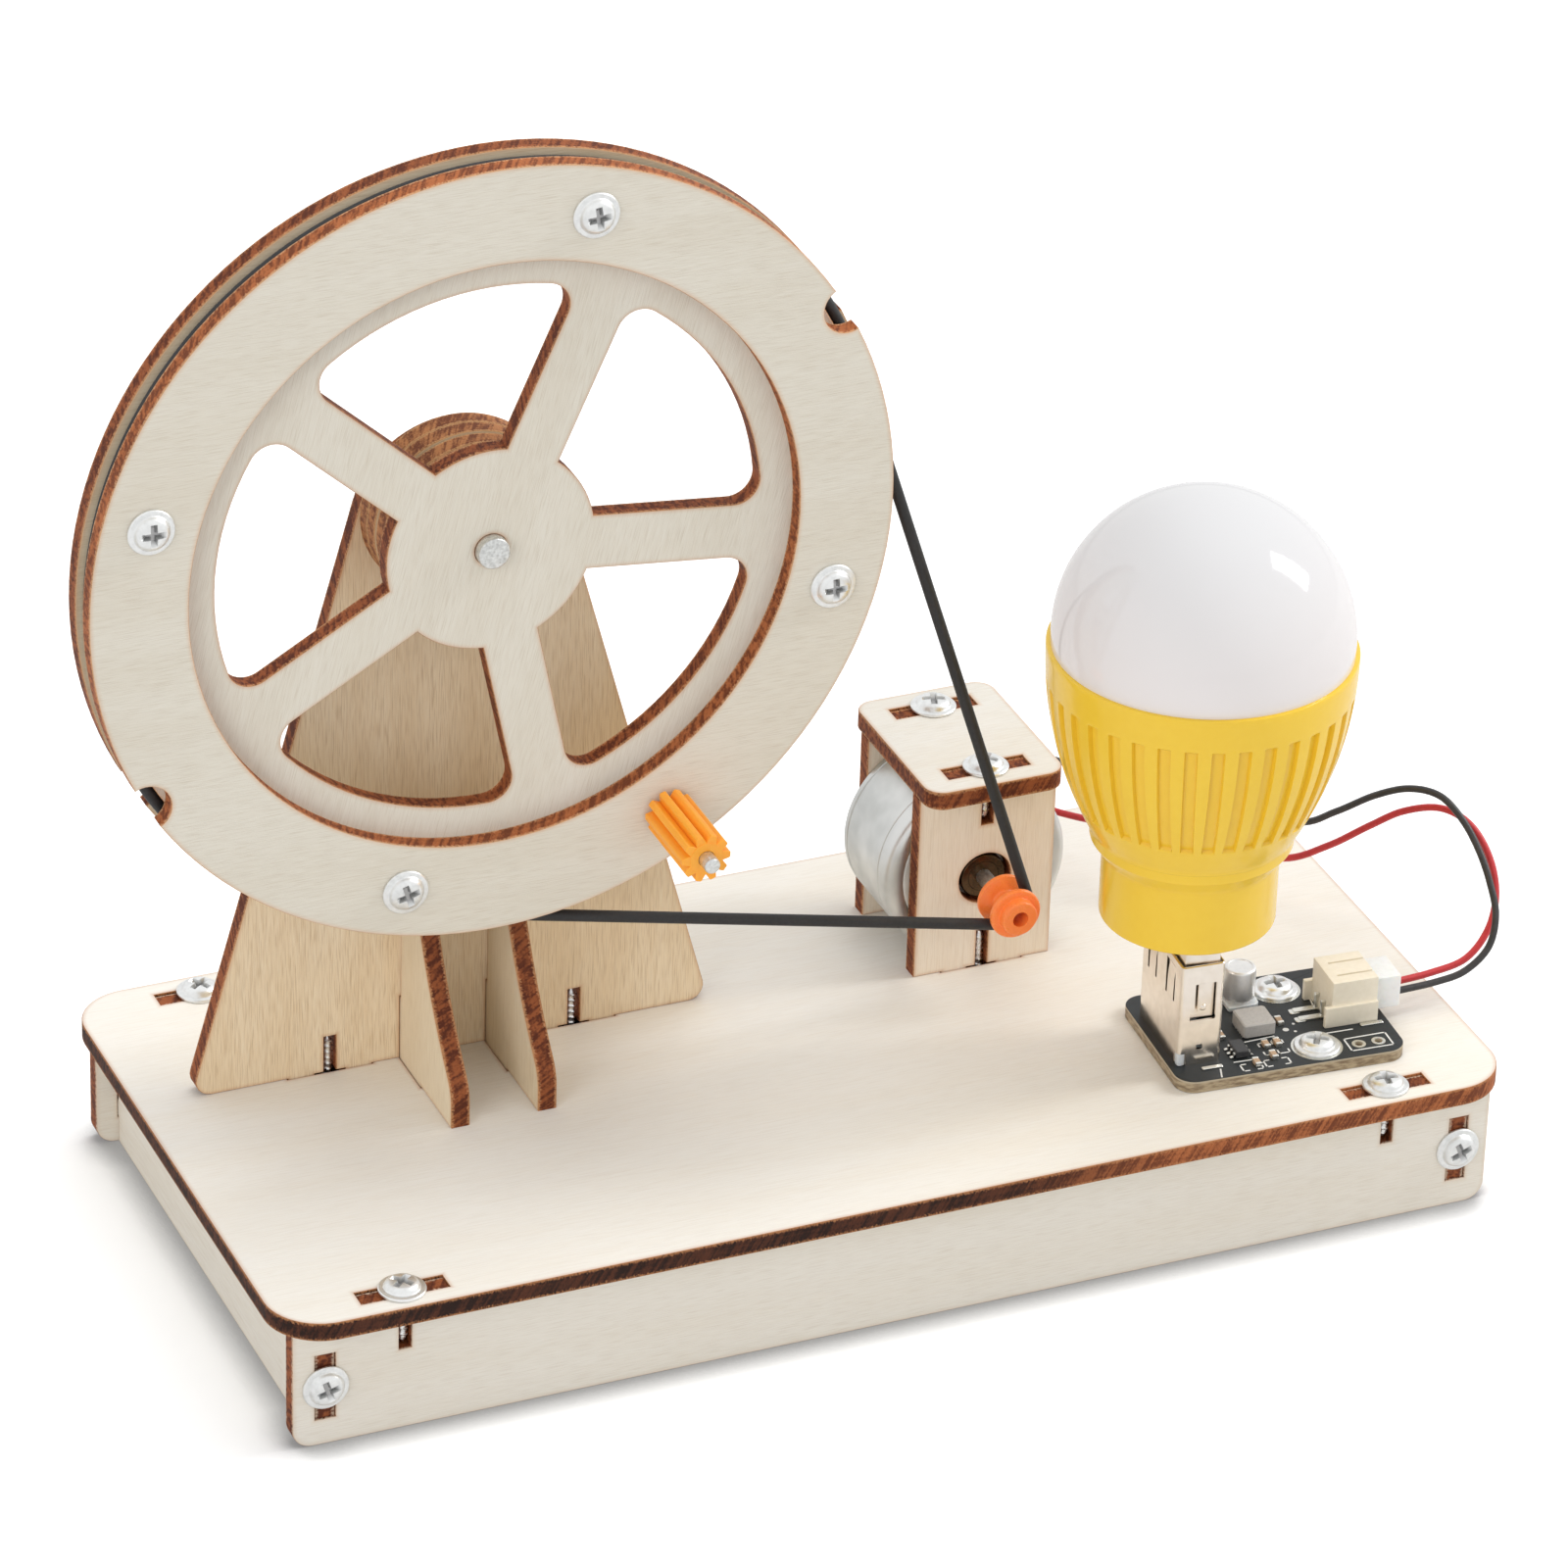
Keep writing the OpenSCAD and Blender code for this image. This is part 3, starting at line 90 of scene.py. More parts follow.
def feed(tree, sockets, values):  # links a socket, sets anything else
    for key, value in values.items():
        if isinstance(value, bpy.types.NodeSocket):
            tree.links.new(value, sockets[key])
        else:
            sockets[key].default_value = (*value, 1) if sockets[key].type == "RGBA" else value


def addNode(tree, kind, inputs=None, **settings):
    node = tree.nodes.new(kind)
    for key, value in settings.items():
        setattr(node, key, value)
    feed(tree, node.inputs, inputs or {})
    return node


def calc(tree, operation, a, b=0.0):
    return addNode(tree, "ShaderNodeMath", {0: a, 1: b}, operation=operation).outputs[0]


def weighted(tree, *shares, start=0.0):  # adds each value times its share
    for value, share in shares:
        node = addNode(tree, "ShaderNodeMath", {0: value, 1: share, 2: start}, operation="MULTIPLY_ADD")
        start = node.outputs[0]
    return start


def mixColour(tree, factor, a, b):
    return addNode(tree, "ShaderNodeMix", {0: factor, 6: a, 7: b}, data_type="RGBA").outputs[2]


def ramp(tree, value, low, high):
    ends = {0: value, 1: low, 2: high}
    return addNode(tree, "ShaderNodeMapRange", ends, interpolation_type="SMOOTHSTEP").outputs[0]


def spread(tree, value, low, high, start=0.0, end=1.0):
    return addNode(tree, "ShaderNodeMapRange", {0: value, 1: start, 2: end, 3: low, 4: high}).outputs[0]


def seenBy(tree, *rays):  # 1 for any of these rays
    path = addNode(tree, "ShaderNodeLightPath").outputs
    seen = path[rays[0]]
    for ray in rays[1:]:
        seen = calc(tree, "MAXIMUM", seen, path[ray])
    return seen


stageLook = {
    "floor": 4.0, "lit": 1.0, "glow": 0.16, "bounce": 0.75, "world": 0.74,
    "near": 0.26, "reach": 0.0065, "open": (0.5, 0.97),  # painted contact shadow: a dark line where the object meets the floor
}
lamps = [  # name, place, aim, width, height, watts, seen in shiny surfaces
    ("windowLamp", (1.18, -0.135, 0.88), (0.04, -0.02, 0.08), 0.3, 0.64, 8.2, True),
    ("topLamp", (0.3, 0.3, 1.4), (0, 0, 0.05), 1.0, 1.0, 5.5, False),
    ("fillLamp", (-1.2, -0.8, 0.75), (0, 0, 0.05), 0.8, 0.8, 5.8, False),
]


def makeFloor():
    half = stageLook["floor"] / 2
    mesh = bpy.data.meshes.new("floor")
    corners = [(-half, -half, 0), (half, -half, 0), (half, half, 0), (-half, half, 0)]
    mesh.from_pydata(corners, [], [(0, 1, 2, 3)])
    material = bpy.data.materials.new("paleFloor")
    material.use_nodes = True
    tree = material.node_tree
    tree.nodes.remove(tree.nodes["Principled BSDF"])
    # painted contact shadow: ambient occlusion darkens the floor's colour next to the object
    near = {"Distance": stageLook["reach"]}
    clear = addNode(tree, "ShaderNodeAmbientOcclusion", near, samples=8).outputs["AO"]
    clear = ramp(tree, clear, *stageLook["open"])
    shade = mixColour(tree, clear, (stageLook["near"],) * 3, (stageLook["lit"],) * 3)
    lit = addNode(tree, "ShaderNodeBsdfDiffuse", {"Color": shade}).outputs[0]
    glow = addNode(tree, "ShaderNodeEmission", {"Strength": stageLook["glow"]}).outputs[0]
    shown = addNode(tree, "ShaderNodeAddShader", {0: lit, 1: glow}).outputs[0]
    plain = addNode(tree, "ShaderNodeBsdfDiffuse", {"Color": (stageLook["bounce"],) * 3}).outputs[0]
    seen = seenBy(tree, "Is Camera Ray", "Is Transmission Ray")
    mix = addNode(tree, "ShaderNodeMixShader", {0: seen, 1: plain, 2: shown}).outputs[0]
    feed(tree, tree.nodes["Material Output"].inputs, {"Surface": mix})
    mesh.materials.append(material)
    addObject("floor", mesh)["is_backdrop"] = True


def makeLight():
    scene.world = bpy.data.worlds.new("studio")
    scene.world.use_nodes = True
    tree = scene.world.node_tree
    seen = seenBy(tree, "Is Camera Ray", "Is Glossy Ray", "Is Transmission Ray")
    level = spread(tree, seen, stageLook["world"], 1.0)
    feed(tree, tree.nodes["Background"].inputs, {"Color": (1, 1, 1), "Strength": level})
    for name, place, aim, width, height, watts, shines in lamps:
        data = bpy.data.lights.new(name, "AREA")
        data.shape, data.size, data.size_y, data.energy = "RECTANGLE", width, height, watts
        lamp = addObject(name, data)
        lamp.location, lamp.visible_glossy = place, shines
        lamp.rotation_euler = (Vector(aim) - Vector(place)).to_track_quat("-Z", "Y").to_euler()


makeCamera()
makeFloor()
makeLight()
scene.view_settings.view_transform = "Standard"
print("camera and stage made")

# shared shader groups

lookOutputs = {"Colour": "Color", "Roughness": "Float", "Height": "Float"}
plyMarks = {  # scale along the grain, across it and through the sheet, then detail
    "fine": (330, 3600, 300, 3), "broad": (14, 150, 60, 2), "cloud": (26, 40, 60, 1),
    "pores": (300, 12000, 300, 1), "speckle": (4200, 4200, 3000, 2), "patch": (170, 170, 260, 3),
    "layers": (90, 90, 5.5, 2), "kerf": (1500, 1500, 90, 2),
}
kerfLean = 0.6  # the laser's lines lean on the cut
poreShade = (0.62, 0.52, 0.42)


def newTree(name, kind, inputs, outputs):
    tree = bpy.data.node_groups.new(name, kind)
    for way, sockets in (("INPUT", inputs), ("OUTPUT", outputs)):
        for label, sort in sockets.items():
            tree.interface.new_socket(label, in_out=way, socket_type="NodeSocket" + sort)
    return tree, tree.nodes.new("NodeGroupInput").outputs, tree.nodes.new("NodeGroupOutput").inputs


def vectorMath(tree, operation, a, b):
    outputs = addNode(tree, "ShaderNodeVectorMath", {0: a, 1: b}, operation=operation).outputs
    return outputs["Value" if operation == "DOT_PRODUCT" else "Vector"]


def parts(tree, vector):
    return addNode(tree, "ShaderNodeSeparateXYZ", {0: vector}).outputs


def noise(tree, vector, scale=1.0, detail=2.0, rough=0.55):
    values = {"Vector": vector, "Scale": scale, "Detail": detail, "Roughness": rough}
    return addNode(tree, "ShaderNodeTexNoise", values).outputs[0]


def stretchedNoise(tree, ways, scales, detail=2.0):
    scaled = {i: calc(tree, "MULTIPLY", way, scale) for i, (way, scale) in enumerate(zip(ways, scales))}
    return noise(tree, addNode(tree, "ShaderNodeCombineXYZ", scaled).outputs[0], detail=detail)


def makePlyGroup():
    group, given, out = newTree("plySheet", "ShaderNodeTree", {
        "Place": "Vector", "Normal": "Vector", "Sheet axis": "Vector", "Grain axis": "Vector",
        "Layer": "Float", "Scorch": "Float", "Pores": "Float",
        "Face": "Color", "Streak": "Color", "Cut": "Color", "Char": "Color", "Rim": "Color"}, lookOutputs)
    side = vectorMath(group, "CROSS_PRODUCT", given["Sheet axis"], given["Grain axis"])
    ways = (given["Grain axis"], side, given["Sheet axis"])
    along, across, deep = (vectorMath(group, "DOT_PRODUCT", given["Place"], way) for way in ways)
    lines = {"layers": (along, across, given["Layer"]),
             "kerf": (weighted(group, (deep, -kerfLean), start=along), across, deep)}
    mark = {name: stretchedNoise(group, lines.get(name, (along, across, deep)), scales, detail)
            for name, (*scales, detail) in plyMarks.items()}
    # the face: streaks, pores and a burnt halo beside the cut
    streaks = weighted(group, (mark["broad"], 0.4), (mark["cloud"], 0.3), (mark["fine"], 0.3))
    face = mixColour(group, ramp(group, streaks, 0.36, 0.66), given["Face"], given["Streak"])
    pores = calc(group, "MULTIPLY", ramp(group, mark["pores"], 0.48, 0.7), given["Pores"])
    face = mixColour(group, pores, face, vectorMath(group, "MULTIPLY", given["Streak"], poreShade))
    halo = calc(group, "POWER", given["Scorch"], weighted(group, (mark["broad"], 1.6), start=1.2))
    face = mixColour(group, calc(group, "MULTIPLY", halo, 0.4), face, given["Rim"])
    # the cut: burnt layers and laser lines, with a ragged paler rim
    kerf = ramp(group, mark["kerf"], 0.3, 0.66)
    burn = weighted(group, (mark["speckle"], 0.3), (mark["patch"], 0.28), (mark["layers"], 0.22), (kerf, 0.2))
    cut = mixColour(group, ramp(group, burn, 0.4, 0.64), given["Char"], given["Cut"])
    edge = calc(group, "ABSOLUTE", calc(group, "SUBTRACT", given["Layer"], 0.5))
    edge = weighted(group, (calc(group, "SUBTRACT", mark["speckle"], 0.5), 0.45), start=edge)
    cut = mixColour(group, calc(group, "MULTIPLY", ramp(group, edge, 0.31, 0.48), 0.75), cut, given["Rim"])
    flat = calc(group, "ABSOLUTE", vectorMath(group, "DOT_PRODUCT", given["Normal"], given["Sheet axis"]))
    flat = ramp(group, flat, 0.74, 0.985)  # 1 on the face, 0 on the cut
    cutShare = calc(group, "SUBTRACT", 1.0, flat)
    height = weighted(group, (mark["fine"], flat), (mark["speckle"], cutShare), (pores, -1))
    rough = spread(group, mark["fine"], 0.58, 0.74)
    feed(group, out, {"Colour": mixColour(group, flat, cut, face), "Roughness": rough, "Height": height})
    return group


def makeMottleGroup():
    group, given, out = newTree("mottle", "ShaderNodeTree", {
        "Place": "Vector", "Base": "Color", "Shade": "Color",
        "Grain": "Float", "Rough low": "Float", "Rough high": "Float"}, lookOutputs)
    fine = noise(group, given["Place"], given["Grain"], rough=0.5)
    both = weighted(group, (noise(group, given["Place"], 120), 0.5), (fine, 0.5))
    colour = mixColour(group, ramp(group, both, 0.35, 0.7), given["Base"], given["Shade"])
    rough = spread(group, both, given["Rough low"], given["Rough high"], 0.3, 0.7)
    feed(group, out, {"Colour": colour, "Roughness": rough, "Height": fine})
    return group


plyGroup = makePlyGroup()
mottleGroup = makeMottleGroup()

# looks

looks = {}
axisOf = {"x": (1, 0, 0), "y": (0, 1, 0), "z": (0, 0, 1), "leaning": (0.24, 0, 0.97)}
plyTones = {
    "base": {"Face": (0.845, 0.82, 0.765), "Streak": (0.825, 0.785, 0.71), "Pores": 0.12},
    "pale": {"Face": (0.80, 0.755, 0.675), "Streak": (0.765, 0.705, 0.605), "Pores": 0.2},
    "mount": {"Face": (0.90, 0.805, 0.68), "Streak": (0.86, 0.745, 0.60), "Pores": 0.22},
    "mountTop": {"Face": (0.77, 0.75, 0.70), "Streak": (0.74, 0.70, 0.62), "Pores": 0.2},
    "ring": {"Face": (0.75, 0.71, 0.62), "Streak": (0.71, 0.66, 0.56), "Pores": 0.25},
    "mid": {"Face": (0.78, 0.67, 0.50), "Streak": (0.72, 0.59, 0.41), "Pores": 0.25},
    "warm": {"Face": (0.905, 0.77, 0.57), "Streak": (0.825, 0.655, 0.44), "Pores": 0.5},
}
plyCuts = {
    "red": {"Cut": (0.30, 0.088, 0.03), "Char": (0.095, 0.023, 0.01), "Rim": (0.58, 0.30, 0.14)},
    "soft": {"Cut": (0.30, 0.088, 0.03), "Char": (0.095, 0.023, 0.01), "Rim": (0.68, 0.53, 0.39)},
    "bright": {"Cut": (0.42, 0.134, 0.046), "Char": (0.16, 0.044, 0.017), "Rim": (0.66, 0.38, 0.20)},
    "orange": {"Cut": (0.44, 0.185, 0.07), "Char": (0.15, 0.045, 0.018), "Rim": (0.54, 0.30, 0.135)},
    "dark": {"Cut": (0.085, 0.027, 0.013), "Char": (0.022, 0.009, 0.006), "Rim": (0.50, 0.22, 0.09)},
}
plyLooks = {  # sheet axis, grain axis, tone, cut, and the cut that it turns to along the base
    "flatPly": ("z", "x", "base", "dark", "bright"),
    "railPly": ("y", "x", "pale", "soft"),
    "sideRailPly": ("x", "y", "pale", "soft"),
    "towerPly": ("y", "z", "warm", "red"),
    "gussetPly": ("x", "z", "mid", "red"),
    "ringPly": ("y", "x", "ring", "bright"),
    # painted shade: the rear ring takes the darker mid tone for its face that lies in shade in the groove
    "rearRingPly": ("y", "x", "mid", "red"),
    "spokePly": ("y", "leaning", "ring", "red"),
    "discPly": ("y", "x", "mid", "orange"),
    "mountPly": ("y", "z", "mount", "red"),
    "mountTopPly": ("z", "x", "mountTop", "red"),
}
plyFinish = {"bump": 0.3, "depth": 0.00012, "shine": 0.2, "cutTurn": (0.008, 0.036)}  # cutTurn: x of the turn
mottledDepth = 0.0001
mottledLooks = {  # base, shade, roughness, grain, bump, then metal, softness and the colour of painted shade in recesses
    "zinc": ((0.87, 0.88, 0.875), (0.72, 0.73, 0.725), (0.3, 0.46), 1500, 0.15, 1, 0, (0.42, 0.42, 0.42)),
    "rod": ((0.80, 0.81, 0.80), (0.50, 0.51, 0.50), (0.3, 0.5), 2600, 0.6, 1),
    "motorSteel": ((0.73, 0.735, 0.72), (0.58, 0.59, 0.575), (0.36, 0.5), 260, 0.04, 1),
    # partly painted shade: bronze for the motor's bearing boss, made far darker than bronze for the shade in
    # the hole
    "bossBronze": ((0.11, 0.068, 0.036), (0.07, 0.042, 0.022), (0.18, 0.3), 900, 0.05, 0.9),
    "tin": ((0.80, 0.79, 0.74), (0.68, 0.67, 0.61), (0.22, 0.38), 2500, 0.1, 1),
    "printWhite": ((0.80, 0.80, 0.78), (0.66, 0.66, 0.64), (0.5, 0.65), 4000, 0.05),
    "chipTan": ((0.48, 0.33, 0.21), (0.40, 0.26, 0.16), (0.4, 0.55), 3000, 0.1),
    "nickel": ((0.89, 0.82, 0.74), (0.80, 0.725, 0.64), (0.14, 0.26), 900, 0.05, 1),
    "brass": ((0.75, 0.62, 0.40), (0.62, 0.50, 0.30), (0.2, 0.36), 1200, 0.1, 1),
    "copper": ((0.70, 0.36, 0.22), (0.55, 0.26, 0.15), (0.25, 0.4), 2500, 0.3, 1),
    "coreSteel": ((0.36, 0.36, 0.37), (0.28, 0.28, 0.29), (0.35, 0.5), 2000, 0.2, 1),
    "ferrite": ((0.19, 0.18, 0.17), (0.14, 0.13, 0.12), (0.5, 0.7), 3000, 0.2),
    "coilGrey": ((0.44, 0.42, 0.395), (0.36, 0.34, 0.32), (0.45, 0.62), 3500, 0.2),
    "canAlu": ((0.84, 0.84, 0.83), (0.75, 0.75, 0.75), (0.34, 0.46), 1500, 0.05, 0.75),
    "blackPlastic": ((0.03, 0.03, 0.032), (0.05, 0.05, 0.052), (0.35, 0.55), 2500, 0.15),
    "whitePlastic": ((0.80, 0.80, 0.79), (0.72, 0.72, 0.70), (0.3, 0.45), 1500, 0.08, 0, 0.15),
    "creamPlastic": ((0.80, 0.73, 0.595), (0.755, 0.685, 0.545), (0.35, 0.5), 1500, 0.1),
    "orangePlastic": ((1.0, 0.265, 0.058), (1.0, 0.23, 0.046), (0.22, 0.34), 1500, 0.05),
    "gripPlastic": ((1.0, 0.43, 0.035), (1.0, 0.375, 0.03), (0.3, 0.42), 1500, 0.05),
    "yellowPlastic": ((0.87, 0.575, 0.04), (0.855, 0.555, 0.036), (0.15, 0.21), 900, 0.0),
    "beltRubber": ((0.016, 0.016, 0.017), (0.03, 0.03, 0.032), (0.5, 0.7), 2500, 0.2),
    "redSleeve": ((0.58, 0.035, 0.04), (0.48, 0.025, 0.03), (0.32, 0.48), 1500, 0.1),
    "blackSleeve": ((0.022, 0.02, 0.02), (0.04, 0.036, 0.036), (0.32, 0.48), 1500, 0.1),
    "lampResin": ((0.85, 0.68, 0.16), (0.75, 0.58, 0.1), (0.3, 0.45), 1500, 0.1),
}
boardTones = {
    "mask": ((0.018, 0.021, 0.023), (0.028, 0.032, 0.034)), "core": ((0.21, 0.15, 0.09), (0.43, 0.34, 0.22)),
    "lip": (0.46, 0.39, 0.28), "lipRise": (0.0197, 0.02), "rough": (0.34, 0.5), "shine": 0.3,
}
# painted light: the dome's colour is lighter low down and darker at the top, standing in for light that
# bounces up through it
domeTones = {
    "low": (0.80, 0.755, 0.745), "high": (0.655, 0.655, 0.665), "rise": (0.074, 0.097),
    "cloud": (0.66, 0.65, 0.65), "rough": (0.07, 0.11),
}
innerLooks = {  # nodes shown as they are
    # the motor's bearings take the bronze with painted shade
    "motor_bearings": "bossBronze", "motor_magnet": "ferrite",
    "motor_brushes": "brass", "motor_terminals": "brass",
    "motor_armature": "coreSteel", "motor_windings": "copper", "motor_commutator": "copper",
    "lamp_board": "whitePlastic", "lamp_chips": "lampResin", "bulb_leads": "redSleeve",
}


def newLook(name):
    looks[name] = bpy.data.materials.new(name)
    looks[name].use_nodes = True
    tree = looks[name].node_tree
    return tree, tree.nodes["Principled BSDF"].inputs, addNode(tree, "ShaderNodeTexCoord").outputs


def attribute(tree, name):
    return addNode(tree, "ShaderNodeAttribute", attribute_name=name).outputs["Fac"]


def finishLook(tree, shader, group, bump, depth, values):
    raised = addNode(tree, "ShaderNodeBump", {"Height": group["Height"], "Strength": bump, "Distance": depth})
    feed(tree, shader, {"Base Color": group["Colour"], "Roughness": group["Roughness"],
                        "Normal": raised.outputs[0], **values})


def plyLook(name, sheet, grain, tone, cut, paler=None):
    tree, shader, coords = newLook(name)
    values = {"Place": coords["Object"], "Normal": coords["Normal"], "Sheet axis": axisOf[sheet],
              "Grain axis": axisOf[grain], "Layer": attribute(tree, "layer"),
              "Scorch": attribute(tree, "scorch"), **plyTones[tone], **plyCuts[cut]}
    if paler:
        share = ramp(tree, parts(tree, coords["Object"])[0], *plyFinish["cutTurn"])
        for key in ("Cut", "Char"):
            values[key] = mixColour(tree, share, values[key], plyCuts[paler][key])
    group = addNode(tree, "ShaderNodeGroup", values, node_tree=plyGroup).outputs
    finishLook(tree, shader, group, plyFinish["bump"], plyFinish["depth"],
               {"Specular IOR Level": plyFinish["shine"]})


def mottledLook(name, base, shade, rough, grain, bump, metal=0, soft=0, recess=None):
    tree, shader, coords = newLook(name)
    group = addNode(tree, "ShaderNodeGroup", {
        "Place": coords["Object"], "Base": base, "Shade": shade, "Grain": grain,
        "Rough low": rough[0], "Rough high": rough[1]}, node_tree=mottleGroup).outputs
    values = {"Metallic": metal, "Subsurface Weight": soft}
    # painted shade: where the mesh's deep attribute is set, the colour turns to the recess shade colour
    if recess:
        values["Base Color"] = mixColour(tree, attribute(tree, "deep"), group["Colour"], recess)
    finishLook(tree, shader, group, bump, mottledDepth, values)


def boardLook(name):
    tree, shader, coords = newLook(name)
    tones, place = boardTones, parts(tree, coords["Object"])
    weave = stretchedNoise(tree, place, (700, 700, 2600))
    mask = mixColour(tree, noise(tree, coords["Object"], 140), *tones["mask"])
    core = mixColour(tree, ramp(tree, weave, 0.35, 0.65), *tones["core"])
    core = mixColour(tree, ramp(tree, place[2], *tones["lipRise"]), core, tones["lip"])
    facing = calc(tree, "ABSOLUTE", vectorMath(tree, "DOT_PRODUCT", coords["Normal"], axisOf["z"]))
    feed(tree, shader, {"Base Color": mixColour(tree, ramp(tree, facing, 0.4, 0.75), core, mask),
                        "Roughness": spread(tree, weave, *tones["rough"]),
                        "Specular IOR Level": tones["shine"]})


def domeLook(name):
    tree, shader, coords = newLook(name)
    tones = domeTones
    # painted light: lighter towards the foot and darker towards the top
    rise = ramp(tree, parts(tree, coords["Object"])[2], *tones["rise"])
    cloud = noise(tree, coords["Object"], 70)
    paintedBounceMilk = mixColour(tree, rise, tones["low"], tones["high"])
    share = calc(tree, "MULTIPLY", cloud, 0.1)
    feed(tree, shader, {"Base Color": mixColour(tree, share, paintedBounceMilk, tones["cloud"]),
                        "Roughness": spread(tree, cloud, *tones["rough"])})


def dress(node, look):
    nodes[node].data.materials.clear()
    nodes[node].data.materials.append(looks[look])


for name, values in plyLooks.items():
    plyLook(name, *values)
for name, values in mottledLooks.items():
    mottledLook(name, *values)
boardLook("maskResin")
domeLook("domePlastic")
for node, look in innerLooks.items():
    dress(node, look)
print("looks made")

# mesh helpers

cadWeld = 3e-6  # joins the corners that the solids' faces share, in m
easeAngle = 40


def camel(node):
    first, *rest = node.split("_")
    return first + "".join(word.capitalize() for word in rest)


def addPiece(node, mesh, look, body="frame", name=None):
    piece = addObject(name or camel(node), mesh)
    mesh.name = piece.name
    if not mesh.materials:
        for part in look.split():
            mesh.materials.append(looks[part])
    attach(piece, body)
    if node in nodes:
        dress(node, look.split()[0])
        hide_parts(node)
    return piece


def meshFrom(bm, sharp=35):
    bmesh.ops.remove_doubles(bm, verts=bm.verts, dist=1e-7)
    bmesh.ops.recalc_face_normals(bm, faces=bm.faces)
    mesh = bpy.data.meshes.new("shape")
    bm.to_mesh(mesh)
    bm.free()
    mesh.shade_smooth()
    mesh.set_sharp_from_angle(angle=math.radians(sharp))
    return mesh


def opened(mesh):
    bm = bmesh.new()
    bm.from_mesh(mesh)
    return bm


def settled(mesh, kind, inputs=None, **settings):  # the mesh that one modifier makes of it
    holder = addObject("holder", mesh)
    modifier = holder.modifiers.new("shape", kind)
    for key, value in settings.items():
        setattr(modifier, key, value)
    for key, value in (inputs or {}).items():
        modifier[key] = value
    view = holder.evaluated_get(bpy.context.evaluated_depsgraph_get())
    result = bpy.data.meshes.new_from_object(view)
    bpy.data.objects.remove(holder)
    return result


def cutAway(mesh, cutter):
    tool = addObject("tool", cutter)
    result = settled(mesh, "BOOLEAN", object=tool, operation="DIFFERENCE", solver="EXACT", use_self=True)
    bpy.data.objects.remove(tool)
    return result


def easedCopy(node, width, segments=2):
    bm = opened(nodes[node].data)
    bmesh.ops.remove_doubles(bm, verts=bm.verts, dist=cadWeld)
    bmesh.ops.dissolve_limit(bm, angle_limit=math.radians(1), verts=bm.verts, edges=bm.edges)
    mesh = bpy.data.meshes.new(node)
    bm.to_mesh(mesh)
    bm.free()
    mesh.shade_smooth()
    return settled(mesh, "BEVEL", width=width * mm, segments=segments, limit_method="ANGLE",
                   angle_limit=math.radians(easeAngle), harden_normals=True)


def alongY(x, z):
    return lambda u, v, s: Vector((x + u, s, z + v)) * mm


def alongZ(x, y):
    return lambda u, v, s: Vector((x + u, y + v, s)) * mm


def spaced(low, high, steps):
    return [low + (high - low) * i / steps for i in range(steps + 1)]


def circle(radius, steps, x=0.0, y=0.0):
    turns = [2 * math.pi * i / steps for i in range(steps)]
    return [(x + radius * math.cos(a), y + radius * math.sin(a)) for a in turns]


def rounded(corners, steps=4):  # corners are x, y and a radius where the corner is round
    points = []
    for i, (x, y, *radius) in enumerate(corners):
        if not radius:
            points.append((x, y))
            continue
        here, r = Vector((x, y)), radius[0]
        before = (Vector(corners[i - 1][:2]) - here).normalized()
        after = (Vector(corners[(i + 1) % len(corners)][:2]) - here).normalized()
        half = before.angle(after) / 2
        centre = here + (before + after).normalized() * r / math.sin(half)
        start = here + before * r / math.tan(half) - centre
        end = here + after * r / math.tan(half) - centre
        first = math.atan2(start.y, start.x)
        sweep = (math.atan2(end.y, end.x) - first + math.pi) % (2 * math.pi) - math.pi
        for angle in spaced(first, first + sweep, steps):
            points.append((centre.x + r * math.cos(angle), centre.y + r * math.sin(angle)))
    return points


def box(x0, y0, x1, y1, radius=0.0, steps=3):
    corners = [(x0, y0), (x1, y0), (x1, y1), (x0, y1)]
    return rounded([(*corner, radius) for corner in corners], steps) if radius else corners


def skin(bm, rings, looped=False):  # faces from ring to ring
    for a, b in zip(rings, rings[1:] + (rings[:1] if looped else [])):
        count = max(len(a), len(b))
        for i in range(count):
            j = (i + 1) % count
            corners = [a[i % len(a)], a[j % len(a)], b[j % len(b)], b[i % len(b)]]
            corners = [v for k, v in enumerate(corners) if v not in corners[:k]]
            if len(corners) > 2:
                bm.faces.new(corners)


def capped(bm, rings, look=0):
    before = len(bm.faces)
    skin(bm, rings)
    bm.faces.new(rings[0])
    bm.faces.new(rings[-1])
    bm.faces.ensure_lookup_table()
    for face in bm.faces[before:]:
        face.material_index = look


def lathe(bm, profile, steps, place, looped=False):
    rings = [[bm.verts.new(place(u, v, s)) for u, v in circle(r, steps if r > 1e-6 else 1)]
             for r, s in profile]
    skin(bm, rings, looped)


def tube(bm, path, radius, sides=12, closed=False):
    rings, side = [], None
    for i, point in enumerate(path):
        before = path[i - 1] if i or closed else point
        after = path[(i + 1) % len(path)] if closed or i < len(path) - 1 else point
        ahead = (after - before).normalized()
        side = ahead.orthogonal() if side is None else side - ahead * side.dot(ahead)
        side = side.normalized()
        up = ahead.cross(side)
        rings.append([bm.verts.new(point + side * u + up * v) for u, v in circle(radius, sides)])
    if closed:
        skin(bm, rings, True)
    else:
        capped(bm, rings)


